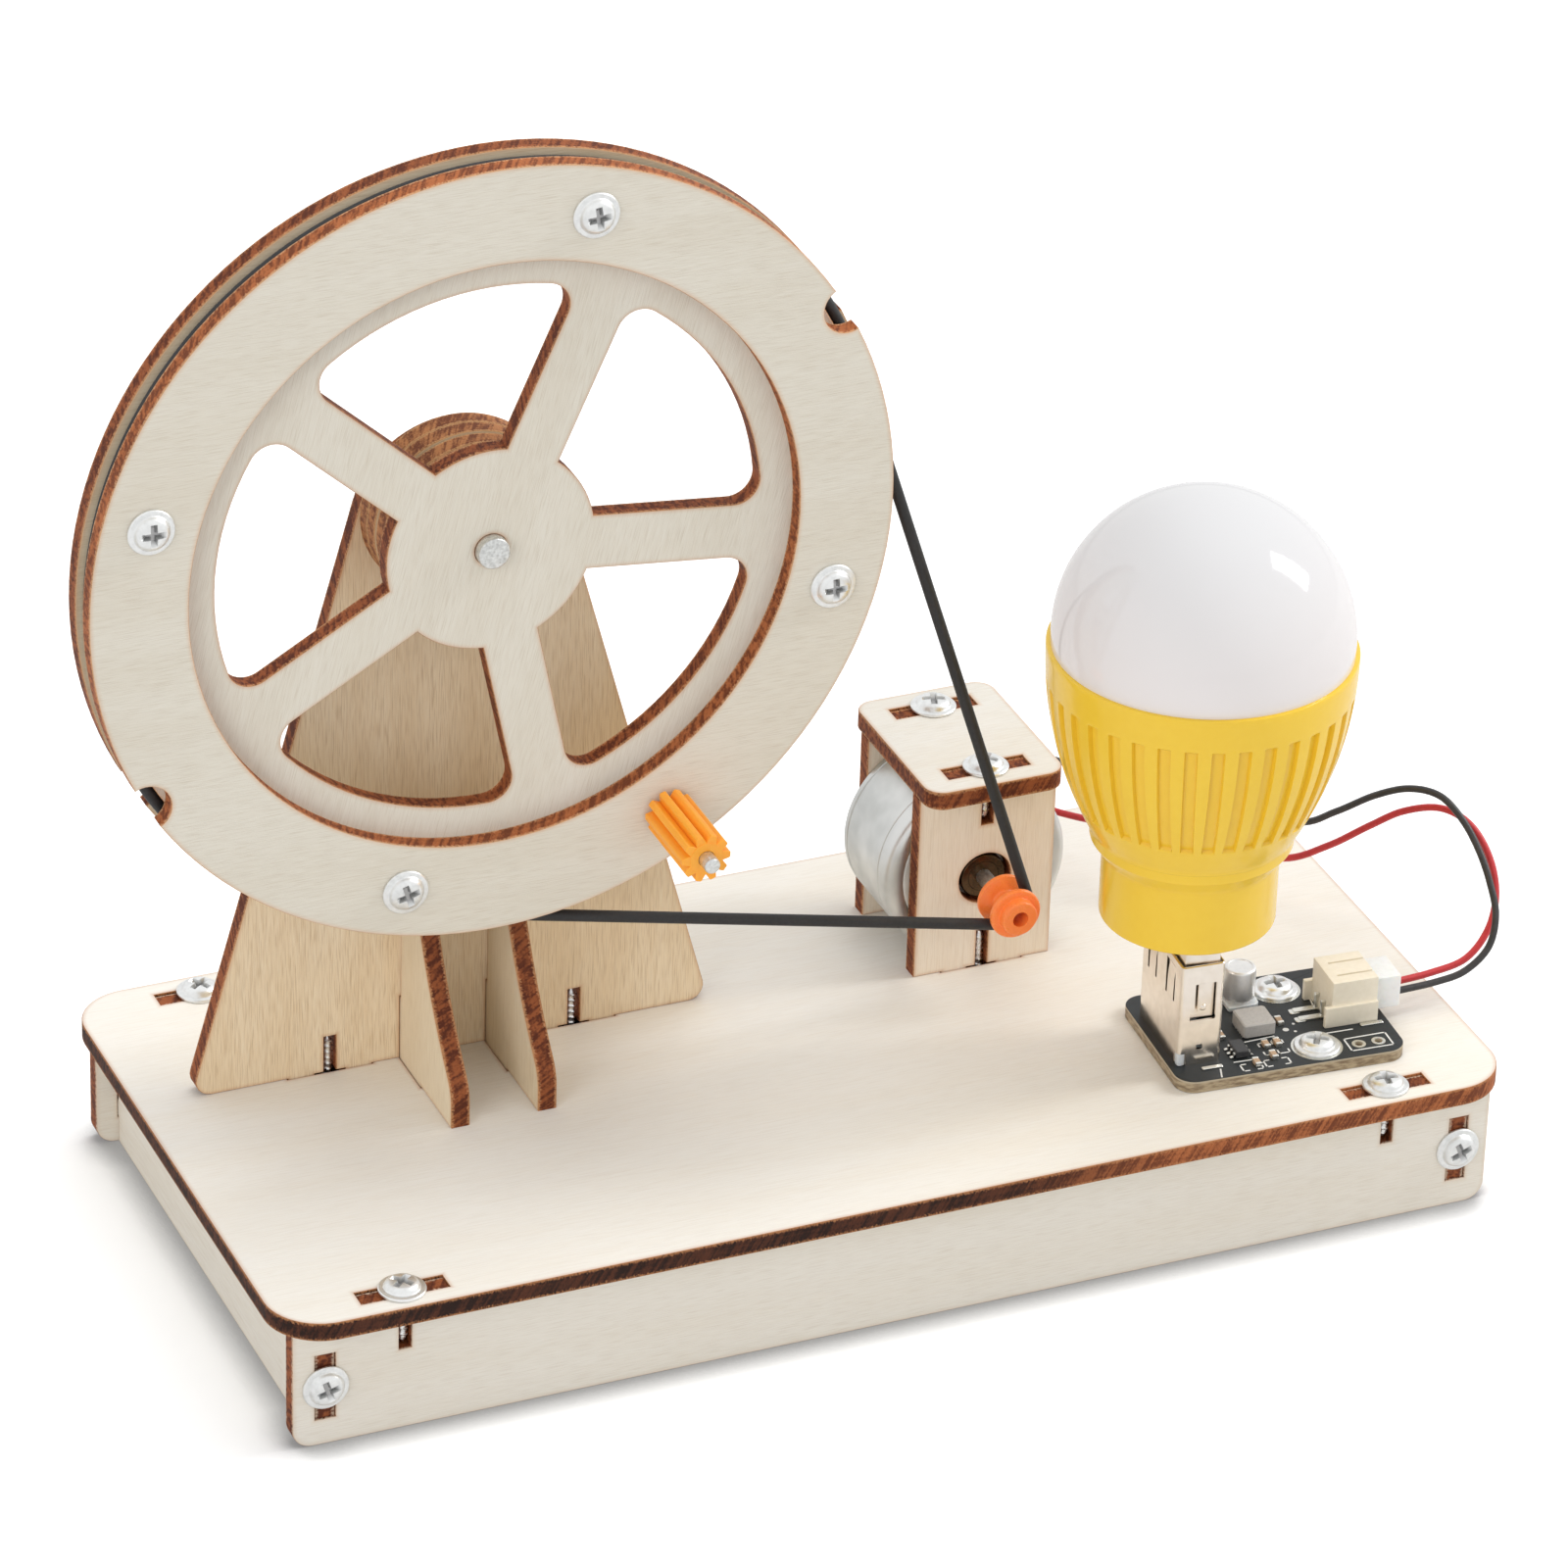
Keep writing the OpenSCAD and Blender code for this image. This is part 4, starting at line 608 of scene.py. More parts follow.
def slab(bm, outline, low, high, place, edge=0.0, look=0):  # the outline raised from low to high
    middle = Vector((sum(p[0] for p in outline), sum(p[1] for p in outline))) / len(outline)
    rings = []
    levels = [(low, 0), (high, 0)]
    if edge:
        levels = [(low, edge), (low + edge, 0), (high - edge, 0), (high, edge)]
    for s, inset in levels:
        rings.append([])
        for spot in outline:
            x, y = [math.copysign(max(abs(d) - inset, 0), d) for d in Vector(spot) - middle]
            rings[-1].append(bm.verts.new(place(middle.x + x, middle.y + y, s)))
    capped(bm, rings, look)


# geometry node helpers


def shapeTree(name, inputs):
    return newTree(name, "GeometryNodeTree", {"Geometry": "Geometry", **inputs}, {"Geometry": "Geometry"})


def grow(mesh, tree, values):
    inputs = {item.identifier: values[item.name] for item in tree.interface.items_tree
              if item.in_out == "INPUT" and item.name in values}
    return settled(mesh, "NODES", inputs, node_group=tree)


def named(tree, name, kind="FLOAT"):
    node = addNode(tree, "GeometryNodeInputNamedAttribute", {"Name": name}, data_type=kind)
    return node.outputs["Attribute"]


def live(sockets, name):
    return [socket for socket in sockets if socket.enabled and socket.name == name][0]


def turnAbout(tree, axis, angle):
    return addNode(tree, "FunctionNodeAxisAngleToRotation", {"Axis": axis, "Angle": angle}).outputs[0]


def copiesOn(tree, source, points, turn):
    shape = addNode(tree, "GeometryNodeObjectInfo", {"Object": source}).outputs["Geometry"]
    values = {"Points": points, "Instance": shape, "Rotation": turn}
    copies = addNode(tree, "GeometryNodeInstanceOnPoints", values).outputs[0]
    return addNode(tree, "GeometryNodeRealizeInstances", {"Geometry": copies}).outputs[0]


def painted(tree, geometry, look, **more):
    values = {"Geometry": geometry, "Material": look, **more}
    return addNode(tree, "GeometryNodeSetMaterial", values).outputs[0]


def pointMesh(spots, label, kind, field, values):
    mesh = bpy.data.meshes.new("spots")
    mesh.from_pydata(spots, [], [])
    for item, value in zip(mesh.attributes.new(label, kind, "POINT").data, values):
        setattr(item, field, value)
    return mesh


# plywood sheets

plyEdge = {"thick": 2.5, "round": 0.16, "steps": 3, "gap": 0.01, "scorch": 0.6}
discStack = 2  # sheets in each node of spacer discs
capFacing = 0.99  # a sheet's upper face looks along its axis at least this much
cornerLimit = 0.3  # keeps the inset of a sharp corner short
insetRoom = 0.93  # share of the inset that a point has to keep clear
plyPieces = [  # look, body, nodes
    ("flatPly", "frame", "base_top"),
    ("railPly", "frame", "front_rail rear_rail"),
    ("sideRailPly", "frame", "left_rail right_rail"),
    ("towerPly", "frame", "tower_plate"),
    ("gussetPly", "frame", "left_gusset right_gusset"),
    ("discPly", "frame", "tower_spacer_discs"),
    ("ringPly", "wheel", "wheel_front_ring"),
    ("spokePly", "wheel", "wheel_spoked_disc"),
    ("rearRingPly", "wheel", "wheel_rear_ring"),
    ("discPly", "wheel", "hub_spacer_discs"),
    ("mountPly", "frame", "motor_mount_front motor_mount_rear"),
    ("mountTopPly", "frame", "motor_mount_top"),
]


def sheetLoops(node, k):  # level and border loops of each flat face that looks along axis k
    bm = opened(nodes[node].data)
    bmesh.ops.delete(bm, geom=[face for face in bm.faces if face.normal[k] < capFacing], context="FACES")
    bmesh.ops.remove_doubles(bm, verts=bm.verts, dist=cadWeld)
    caps, sheets = set(bm.faces), []
    while caps:
        island, front = set(), [caps.pop()]
        while front:
            face = front.pop()
            island.add(face)
            near = {other for edge in face.edges for other in edge.link_faces if other in caps}
            caps -= near
            front += near
        following = {}
        for corner in (corner for face in island for corner in face.loops):
            if sum(other in island for other in corner.edge.link_faces) == 1:
                following[corner.vert] = corner.link_loop_next.vert
        loops = []
        while following:
            first, here = following.popitem()
            loop = [first]
            while here is not first:
                loop.append(here)
                here = following.pop(here)
            loops.append([(v.co[(k + 1) % 3] / mm, v.co[(k + 2) % 3] / mm) for v in loop])
        sheets.append((max(v.co[k] for face in island for v in face.verts) / mm, loops))
    bm.free()
    return sheets


def insetLoop(loop, width):
    moved = []
    for i, here in enumerate(loop):
        sides = []
        for a, b in ((loop[i - 1], here), (here, loop[(i + 1) % len(loop)])):
            ahead = (Vector(b) - Vector(a)).normalized()
            sides.append(Vector((-ahead.y, ahead.x)))
        bend = max(1 + sides[0].dot(sides[1]), cornerLimit)
        moved.append(Vector(here) + (sides[0] + sides[1]) * width / bend)
    return moved


def distance(spot, a, b):
    along = Vector(b) - Vector(a)
    share = min(1, max(0, (spot - Vector(a)).dot(along) / along.length_squared))
    return (Vector(a) + along * share - spot).length


def clearInset(loop, width):  # inset points that come too near another side move to the next clear one
    moved = insetLoop(loop, width)
    sides = list(zip(loop, loop[1:] + loop[:1]))
    clear = [min(distance(spot, a, b) for a, b in sides) > insetRoom * width for spot in moved]
    if not any(clear):
        return moved
    count = len(loop)
    for i in range(count):
        near = min((abs(d), d) for d in range(-count // 2, count // 2 + 1) if clear[(i + d) % count])[1]
        moved[i] = moved[(i + near) % count]
    return moved


def sheetMesh(node, axis, size, stack=1):  # the node's sheet with round edges and a band for the scorch
    k = "xyz".index(axis)
    thick, edge, scorch = size["thick"], size["round"], size["scorch"]

    def place(p, level):
        spot = [0, 0, 0]
        spot[(k + 1) % 3], spot[(k + 2) % 3], spot[k] = p[0] * mm, p[1] * mm, level * mm
        return spot
    bm = bmesh.new()
    layer, burnt = bm.verts.layers.float.new("layer"), bm.verts.layers.float.new("scorch")
    turns = spaced(0, math.pi / 2, size["steps"])
    bends = [(edge * (1 - math.cos(a)), edge * (1 - math.sin(a))) for a in turns]
    for top, loops in [(top - thick * i, loops) for top, loops in sheetLoops(node, k) for i in range(stack)]:
        low, high = top - thick + size["gap"], top - size["gap"]
        levels = [(inset, low + rise, 1) for inset, rise in reversed(bends)]
        levels += [(inset, high - rise, 1) for inset, rise in bends]
        if scorch:
            levels = [(edge + scorch, low, 0)] + levels + [(edge + scorch, high, 0)]
        ends = ([], [])
        for loop in loops:
            rings = []
            for inset, level, burn in levels:
                spots = insetLoop(loop, inset) if burn else clearInset(loop, inset)
                made = {tuple(p): bm.verts.new(place(p, level)) for p in spots}
                rings.append([made[tuple(p)] for p in spots])
                for v in rings[-1]:
                    v[layer], v[burnt] = (level - low) / (high - low), burn
            skin(bm, rings)
            for side, ring in zip(ends, (rings[0], rings[-1])):
                side += [bm.edges.get((a, b)) for a, b in zip(ring, ring[1:] + ring[:1]) if a is not b]
        for side in ends:
            bmesh.ops.triangle_fill(bm, use_beauty=True, use_dissolve=False, edges=side)
    return settled(meshFrom(bm, 50), "WEIGHTED_NORMAL", keep_sharp=True, weight=100)


for look, body, names in plyPieces:
    for node in names.split():
        mesh = sheetMesh(node, plyLooks[look][0], plyEdge, discStack if look == "discPly" else 1)
        addPiece(node, mesh, look, body)
print("plywood sheets made")

# screws

boardPlace = {"x": 55.2, "y": -19.35, "turn": -4, "top": 20.1}
wheelCentre = (-40.2, 94.3)  # x and z
motorAxis = (29.3, 31)
screwShape = {
    "head": [(0, 1.34), (1.0, 1.31), (1.55, 1.22), (1.92, 1.02), (2.1, 0.76), (2.17, 0.55), (2.26, 0.47),
             (2.5, 0.44), (2.76, 0.39), (2.87, 0.28), (2.9, 0.15), (2.85, 0), (0, 0)],
    "cross": [(0.62, 0.85, 0.22), (1.6, 1.8144, 0.5)],  # level, half length and half width of the arms
    "recess": (0.5, 0.9, 1.3),  # low, high and reach of its floor, which is painted with shade
    "root": 0.56, "crest": 0.745, "pitch": 0.8, "tip": 1.0, "blunt": 0.25, "rows": 6, "sides": 14,
}
screwRows = {
    "long": 7.1, "short": 5.5, "plateTop": 18.5, "plateUnder": 16, "topX": 64, "topY": 35.4,
    "railX": 73.95, "railY": 36.65, "railZ": 8, "towerX": -39.4, "towerHalf": 15.9, "towerY": 13.75,
    "mountY": (9.15, 25.15), "mountTop": 46.2, "boardX": 4.2, "boardY": 6.9,
    "ringRadius": 44, "ringY": -3, "ringTurns": (75, 165, 255, 345),
}


def turnedOnBoard(x, y):
    turn = math.radians(boardPlace["turn"])
    return (boardPlace["x"] + x * math.cos(turn) - y * math.sin(turn),
            boardPlace["y"] + x * math.sin(turn) + y * math.cos(turn))


def screwMesh(length):
    size, place = screwShape, alongZ(0, 0)
    head, cross = bmesh.new(), bmesh.new()
    lathe(head, size["head"], 40, place)
    for turned in (False, True):
        rings = []
        for s, long, half in size["cross"]:
            corners = box(-long, -half, long, half)
            rings.append([cross.verts.new(place(-y, x, s) if turned else place(x, y, s)) for x, y in corners])
        capped(cross, rings)
    bm = opened(cutAway(meshFrom(head, 30), meshFrom(cross)))
    rows, sides, rings = int(length / size["pitch"] * size["rows"]), size["sides"], []
    for row in range(rows + 1):
        s = -length * row / rows
        taper = min(1, (length + s) / size["tip"] + size["blunt"])
        ring = []
        for k, (u, v) in enumerate(circle(taper, sides)):
            phase = (s / size["pitch"] + k / sides) % 1
            r = size["root"] + (size["crest"] - size["root"]) * max(0, 1 - abs(phase - 0.5) * 5)
            ring.append(bm.verts.new(place(r * u, r * v, s)))
        rings.append(ring)
    capped(bm, rings)
    # painted shade: deep marks the recess floor that the zinc look darkens
    deep = bm.verts.layers.float.new("deep")
    low, high, reach = size["recess"]
    for v in bm.verts:
        v[deep] = low < v.co.z / mm < high and math.hypot(v.co.x, v.co.y) / mm < reach
    return meshFrom(bm, 30)


def makeScrewTree():
    tree, given, out = shapeTree("screwSet", {"Screw": "Object", "Seed": "Int", "Look": "Material"})
    facing = {"Vector": named(tree, "facing", "FLOAT_VECTOR")}
    upright = addNode(tree, "FunctionNodeAlignRotationToVector", facing, axis="Z").outputs[0]
    chance = addNode(tree, "FunctionNodeRandomValue", data_type="FLOAT")
    live(chance.inputs, "Max").default_value = 2 * math.pi
    tree.links.new(given["Seed"], live(chance.inputs, "Seed"))
    turns = {"Rotation": upright, "Rotate By": turnAbout(tree, (0, 0, 1), live(chance.outputs, "Value"))}
    turned = addNode(tree, "FunctionNodeRotateRotation", turns, rotation_space="LOCAL").outputs[0]
    copies = copiesOn(tree, given["Screw"], given["Geometry"], turned)
    feed(tree, out, {"Geometry": painted(tree, copies, given["Look"])})
    return tree


def bothWays(size):
    return -size, size


def screwSpots(rows):  # for each node its body, length and places with the way they face
    up, down, forward, backward = (0, 0, 1), (0, 0, -1), (0, -1, 0), (0, 1, 0)
    ring = [Vector((wheelCentre[0] + x, rows["ringY"], wheelCentre[1] + z)) for x, z in (
        (rows["ringRadius"] * math.cos(math.radians(a)), rows["ringRadius"] * math.sin(math.radians(a)))
        for a in rows["ringTurns"])]
    return {
        "base_top_screws": ("frame", rows["long"], [
            ((x, y, rows["plateTop"]), up) for x in bothWays(rows["topX"]) for y in bothWays(rows["topY"])]),
        "rail_screws": ("frame", rows["long"], [
            ((x, y, rows["railZ"]), forward if y < 0 else backward)
            for x in bothWays(rows["railX"]) for y in bothWays(rows["railY"])]),
        "tower_screws": ("frame", rows["long"], [
            ((rows["towerX"] + x, rows["towerY"], rows["plateUnder"]), down)
            for x in bothWays(rows["towerHalf"])]),
        "motor_mount_top_screws": ("frame", rows["long"], [
            ((motorAxis[0], y, rows["mountTop"]), up) for y in rows["mountY"]]),
        "motor_mount_base_screws": ("frame", rows["long"], [
            ((motorAxis[0], y, rows["plateUnder"]), down) for y in rows["mountY"]]),
        "wheel_ring_screws": ("wheel", rows["long"], [(spot, forward) for spot in ring]),
        "board_screws": ("frame", rows["short"], [
            ((*turnedOnBoard(rows["boardX"], y), boardPlace["top"]), up) for y in bothWays(rows["boardY"])]),
    }


screwTree = makeScrewTree()
for seed, (node, (body, length, spots)) in enumerate(screwSpots(screwRows).items()):
    screw = addObject("screw", screwMesh(length))
    places, facings = zip(*spots)
    points = pointMesh([Vector(place) * mm for place in places], "facing", "FLOAT_VECTOR", "vector", facings)
    screws = grow(points, screwTree, {"Screw": screw, "Seed": seed, "Look": looks["zinc"]})
    addPiece(node, screws, "zinc", body)
    bpy.data.objects.remove(screw)
print("screws made")

# bulb

bulbShape = {
    "axis": (44.027, -18.569), "foot": 38.1, "neck": 10.8, "neckTop": 8.8, "lip": 12.4, "lipLow": 10.9,
    "lipHigh": 12.1, "rim": 18.8, "height": 37, "sideRound": 50, "wall": 1.6, "seat": 1.0, "seatDepth": 1.6,
    "floor": 2, "footRings": (6, 9), "grooves": 36, "width": 1.6, "widest": 0.36, "depth": 0.6,
    "grooveLow": 16.5, "grooveHigh": 32.6, "grooveEnd": 0.3, "turn": 86,
    "domeOut": 18.3, "domeLift": 1.3, "domeWall": 1.2, "domeFit": 0.05,
}
grooveColumns = [  # across the groove, along the pitch, sunk
    (-1, 0, 0), (-0.84, 0, 1), (0, 0, 1), (0.84, 0, 1), (1, 0, 0),
    (0.5, 0.25, 0), (0, 0.5, 0), (-0.5, 0.75, 0)]


def sideRadius(rise):  # the bulging side is an arc from the lip to the rim
    size = bulbShape
    low, high = Vector((size["lip"], size["lipHigh"])), Vector((size["rim"], size["height"]))
    middle, chord = (low + high) / 2, high - low
    reach = math.sqrt(size["sideRound"] ** 2 - (chord.length / 2) ** 2)
    centre = middle + Vector((-chord.y, chord.x)).normalized() * reach
    out = math.sqrt(size["sideRound"] ** 2 - (rise - centre.y) ** 2)
    return centre.x + (out if centre.x < size["rim"] else -out)


def makeGrooveTree():
    tree, given, out = shapeTree("bulbGrooves", {
        "Grooves": "Float", "Width": "Float", "Depth": "Float", "Turn": "Float", "Foot": "Vector",
        "Look": "Material"})
    pitch = calc(tree, "DIVIDE", 2 * math.pi, given["Grooves"])
    radius = named(tree, "radius")
    half = calc(tree, "MULTIPLY", given["Width"], 0.5)
    half = calc(tree, "DIVIDE", half, calc(tree, "MAXIMUM", radius, mm))
    half = calc(tree, "MINIMUM", half, calc(tree, "MULTIPLY", pitch, bulbShape["widest"]))
    angle = weighted(tree, (named(tree, "step"), pitch), (named(tree, "across"), half), start=given["Turn"])
    near = calc(tree, "SUBTRACT", radius, calc(tree, "MULTIPLY", named(tree, "sunk"), given["Depth"]))
    place = addNode(tree, "ShaderNodeCombineXYZ", {
        0: calc(tree, "MULTIPLY", near, calc(tree, "COSINE", angle)),
        1: calc(tree, "MULTIPLY", near, calc(tree, "SINE", angle)), 2: named(tree, "rise")}).outputs[0]
    place = vectorMath(tree, "ADD", place, given["Foot"])
    values = {"Geometry": given["Geometry"], "Position": place}
    moved = addNode(tree, "GeometryNodeSetPosition", values).outputs[0]
    feed(tree, out, {"Geometry": painted(tree, moved, given["Look"])})
    return tree


def bulbRows():  # radius, rise and sunk of each row, from the neck up the outside and down the inside
    size = bulbShape
    neck, lip, lipHigh = size["neck"], size["lip"], size["lipHigh"]
    rim, height, wall = size["rim"], size["height"], size["wall"]
    low, high, end = size["grooveLow"], size["grooveHigh"], size["grooveEnd"]
    start = lipHigh + 0.35
    rows = [(0, 0, 0), (size["footRings"][0], 0, 0)]
    rows += [(r, s, 0) for r, s in rounded([
        (size["footRings"][1], 0), (neck, 0, 0.4), (neck, size["neckTop"], 1.2),
        (lip, size["lipLow"], 0.35), (lip, lipHigh, 0.12),
        (sideRadius(start) - 0.05, lipHigh + 0.12)])]
    rises = spaced(start, low - 0.25, 6) + [low - 0.05] + spaced(low + 0.05, low + 1.45, 4)
    rises += spaced(low + 2, high - 2, 14) + spaced(high - 1.45, high - 0.05, 4) + [high + 0.05]
    rises += spaced(high + 0.3, height - 0.2, 6)
    rows += [(sideRadius(s), s, max(0, min(1, (s - low) / end, (high - s) / end))) for s in rises]
    seat, shelf = rim - size["seat"], height - size["seatDepth"]
    rows += [(rim - 0.06, height - 0.06, 0), (rim - 0.2, height, 0), (seat, height, 0), (seat, shelf, 0)]
    rows += [(sideRadius(s) - wall, s, 0) for s in (shelf, 30, 24, 18, 13)]
    return rows + [(neck - wall, size["neckTop"], 0), (neck - wall, size["floor"], 0), (0, size["floor"], 0)]


def makeBulbBody():
    size, rows = bulbShape, bulbRows()
    columns = [(groove, *column) for groove in range(size["grooves"]) for column in grooveColumns]
    values = {"radius": [], "rise": [], "sunk": [], "across": [], "step": []}
    for r, s, sunk in rows:
        for groove, across, along, sinks in columns:
            for label, value in zip(values, (r * mm, s * mm, sunk * sinks, across, groove + 0.5 + along)):
                values[label].append(value)
    count = len(columns)
    faces = [(a + k, a + (k + 1) % count, a + count + (k + 1) % count, a + count + k)
             for a in range(0, (len(rows) - 1) * count, count) for k in range(count)]
    mesh = bpy.data.meshes.new("bulbRows")
    mesh.from_pydata([(0, 0, 0)] * (len(rows) * count), [], faces)
    for label, numbers in values.items():
        mesh.attributes.new(label, "FLOAT", "POINT").data.foreach_set("value", numbers)
    return meshFrom(opened(grow(mesh, makeGrooveTree(), {
        "Grooves": float(size["grooves"]), "Width": size["width"] * mm, "Depth": size["depth"] * mm,
        "Turn": math.radians(size["turn"]), "Foot": Vector((*size["axis"], size["foot"])) * mm,
        "Look": looks["yellowPlastic"]})), 38)


def makeDome():
    size = bulbShape
    out, lift, top = size["domeOut"], size["domeLift"], size["foot"] + size["height"]
    inner, foot = out - size["domeWall"], out - size["domeFit"]
    profile = [(foot, 0), (foot, lift / 2)]
    profile += [(out * math.cos(a), lift + out * math.sin(a)) for a in spaced(0, math.pi / 2, 40)[:-1]]
    profile += [(0, lift + out), (0, lift + inner)]
    profile += [(inner * math.sin(a), lift + inner * math.cos(a)) for a in spaced(0, math.pi / 2, 12)[1:]]
    profile += [(inner, 0), (foot, 0)]
    bm = bmesh.new()
    lathe(bm, [(r, top + s) for r, s in profile], 128, alongZ(*size["axis"]))
    return meshFrom(bm, 40)


addPiece("bulb_body", makeBulbBody(), "yellowPlastic", "bulb")
addPiece("bulb_dome", makeDome(), "domePlastic", "bulb")
print("bulb made")

# belt, pulley, grip, rods and motor

beltShape = {"thick": 1.46, "y": 0.75, "wheel": 48.75, "pulley": 2.65, "wheelSteps": 160, "pulleySteps": 32}
pulleyShape = [
    (1.02, -2.85), (2.3, -2.85, 0.25), (2.3, -1.55, 0.12), (3.3, -1.55, 0.25), (3.3, -0.85, 0.15),
    (1.6, -0.25, 0.4), (1.6, 1.75, 0.4), (3.3, 2.35, 0.15), (3.3, 3.05, 0.25), (1.02, 3.05)]
gripShape = {
    "place": (wheelCentre[0] + 22, wheelCentre[1] - 38.105), "root": 2.1, "tip": 3.1, "base": 1.3, "top": 0.8,
    "sunk": 1.5, "round": 0.22, "edge": 0.08, "inset": 0.05,
    "teeth": 10, "bore": 1.05, "front": -15.2, "rear": -3.4,
}
rodEnd = 0.25
rodShapes = [  # node, centre, radius, from, to, body
    ("wheel_axle", wheelCentre, 2, -1.8, 18.5, "wheel"),
    ("crank_pin", gripShape["place"], 1, -17.2, 4.5, "wheel"),
    ("motor_shaft", motorAxis, 1, -0.05, 25.9, "rotor"),
]
bossFace = 10.45  # the can's boss stands in front of this y and takes the bronze with painted shade
canShape = [
    (2.05, 8.4), (3, 8.4, 0.25), (3, 10.5), (9.6, 10.5), (9.9, 10.62), (10.2, 10.5), (12.2, 10.5, 1.0),
    (12.2, 13.1), (12.12, 13.2), (12.12, 13.4), (12.2, 13.5), (12.2, 22.6), (12.05, 22.7), (12.05, 22.9),
    (12.2, 23.0), (12.2, 23.8, 0.2), (11.4, 23.8), (11.4, 11.3), (2.05, 11.3)]


def turnedMesh(profile, steps, centre, looped=True, sharp=35):
    bm = bmesh.new()
    lathe(bm, profile, steps, alongY(*centre), looped)
    return meshFrom(bm, sharp)


def makeBelt():
    size = beltShape
    wheel, pulley = Vector(wheelCentre), Vector(motorAxis)
    gap = pulley - wheel
    slope, opening = math.atan2(gap.y, gap.x), math.acos((size["wheel"] - size["pulley"]) / gap.length)
    path = []
    for centre, radius, start, sweep, steps in (
            (wheel, size["wheel"], slope + opening, 2 * math.pi - 2 * opening, size["wheelSteps"]),
            (pulley, size["pulley"], slope - opening, 2 * opening, size["pulleySteps"])):
        for a in spaced(start, start + sweep, steps):
            spot = centre + Vector((math.cos(a), math.sin(a))) * radius
            path.append(Vector((spot.x, size["y"], spot.y)) * mm)
    bm = bmesh.new()
    tube(bm, path, size["thick"] / 2 * mm, 16, True)
    return meshFrom(bm)


def makeToothTree():
    tree, given, out = shapeTree("gripTeeth", {
        "Tooth": "Object", "Count": "Int", "Centre": "Vector", "Look": "Material"})
    line = {"Count": given["Count"], "Start Location": given["Centre"], "Offset": (0, 0, 0)}
    spots = addNode(tree, "GeometryNodeMeshLine", line, mode="OFFSET").outputs[0]
    share = calc(tree, "DIVIDE", 2 * math.pi, given["Count"])
    angle = calc(tree, "MULTIPLY", addNode(tree, "GeometryNodeInputIndex").outputs[0], share)
    teeth = copiesOn(tree, given["Tooth"], spots, turnAbout(tree, (0, 1, 0), angle))
    both = addNode(tree, "GeometryNodeJoinGeometry")
    for shape in (given["Geometry"], teeth):
        tree.links.new(shape, both.inputs[0])
    feed(tree, out, {"Geometry": painted(tree, both.outputs[0], given["Look"])})
    return tree


def makeGrip():
    size = gripShape
    root, tip, base, top, front, rear = (size[key] for key in ("root", "tip", "base", "top", "front", "rear"))
    outline = rounded([
        (size["sunk"], -base / 2), (root, -base / 2),
        (tip, -top / 2, size["round"]), (tip, top / 2, size["round"]),
        (root, base / 2), (size["sunk"], base / 2)], 3)
    bm = bmesh.new()
    slab(bm, outline, front + size["inset"], rear - size["inset"], alongY(0, 0), size["edge"])
    tooth = addObject("tooth", meshFrom(bm))
    profile = [(size["bore"], front), (root, front), (root, rear), (size["bore"], rear)]
    core = turnedMesh(profile, 60, size["place"])
    centre = Vector((size["place"][0], 0, size["place"][1])) * mm
    grip = grow(core, makeToothTree(), {
        "Tooth": tooth, "Count": size["teeth"], "Centre": centre, "Look": looks["gripPlastic"]})
    bpy.data.objects.remove(tooth)
    return grip


def makeCan():
    mesh = turnedMesh(rounded(canShape, 5), 128, motorAxis, True, 30)
    for face in mesh.polygons:
        # faces of the boss get the bronze with painted shade
        face.material_index = int(face.center.y < bossFace * mm)
    return mesh


addPiece("belt", makeBelt(), "beltRubber", name="driveBelt")
pulleyMesh = turnedMesh(rounded(pulleyShape), 64, motorAxis)
addPiece("drive_pulley", pulleyMesh, "orangePlastic", "rotor")
print("belt and pulley made")
for node, centre, radius, low, high, body in rodShapes:
    profile = rounded([(0, low), (radius, low, rodEnd), (radius, high, rodEnd), (0, high)], 3)
    addPiece(node, turnedMesh(profile, 40, centre, False), "rod", body)
addPiece("crank_grip", makeGrip(), "gripPlastic", "grip")
addPiece("motor_can", makeCan(), "motorSteel bossBronze")
addPiece("axle_collar", easedCopy("axle_collar", 0.25, 3), "blackPlastic", "wheel")
addPiece("motor_end_cap", easedCopy("motor_end_cap", 0.15), "whitePlastic")
print("motor, rods and grip made")

# wires

wireShape = {"thick": 0.9, "lift": 18.5, "steps": 8, "sides": 14}
redRoute = [
    (39.191, 27.05, 9.286), (39.6, 29, 9.3), (41, 30.7, 9.1), (43.4, 30.6, 8.8), (48, 25.8, 8.3),
    (51, 21.4, 8.9), (55.5, 17.4, 9.1), (63.5, 12.6, 7.6), (70.8, 8.2, 6.7), (75.2, 4.5, 9.7),
    (78.8, 1, 13.7), (82, -2, 16.9), (85.4, -5.4, 18.5), (88, -8.6, 17.3), (89.26, -11.8, 14.1),
    (89, -14.6, 10.3), (87, -16.8, 6.9), (83.4, -18.2, 4.3), (78.4, -18.7, 3.6),
    (*turnedOnBoard(17.15, 1.4), 3.6)]
blackRoute = [
    (39.191, 27.05, 15.714), (39.6, 29.2, 15.6), (41.2, 31.6, 15.4), (44.4, 32.4, 14.7), (50.8, 28.5, 13.2),
    (57.6, 21.8, 12.3), (65, 14.6, 11.4), (72.2, 7.4, 12.1), (75.5, 3.6, 15.1), (78.8, 0, 18.7),
    (82, -3, 20.7), (84.8, -6, 20.7), (86.6, -9, 18.5), (87.6, -12, 15.5), (87.8, -15, 12.5),
    (87.4, -17.8, 9.5), (85.6, -19.8, 6.4), (82, -20.8, 4.3), (78, -20.9, 3.6),
    (*turnedOnBoard(17.15, -0.6), 3.6)]


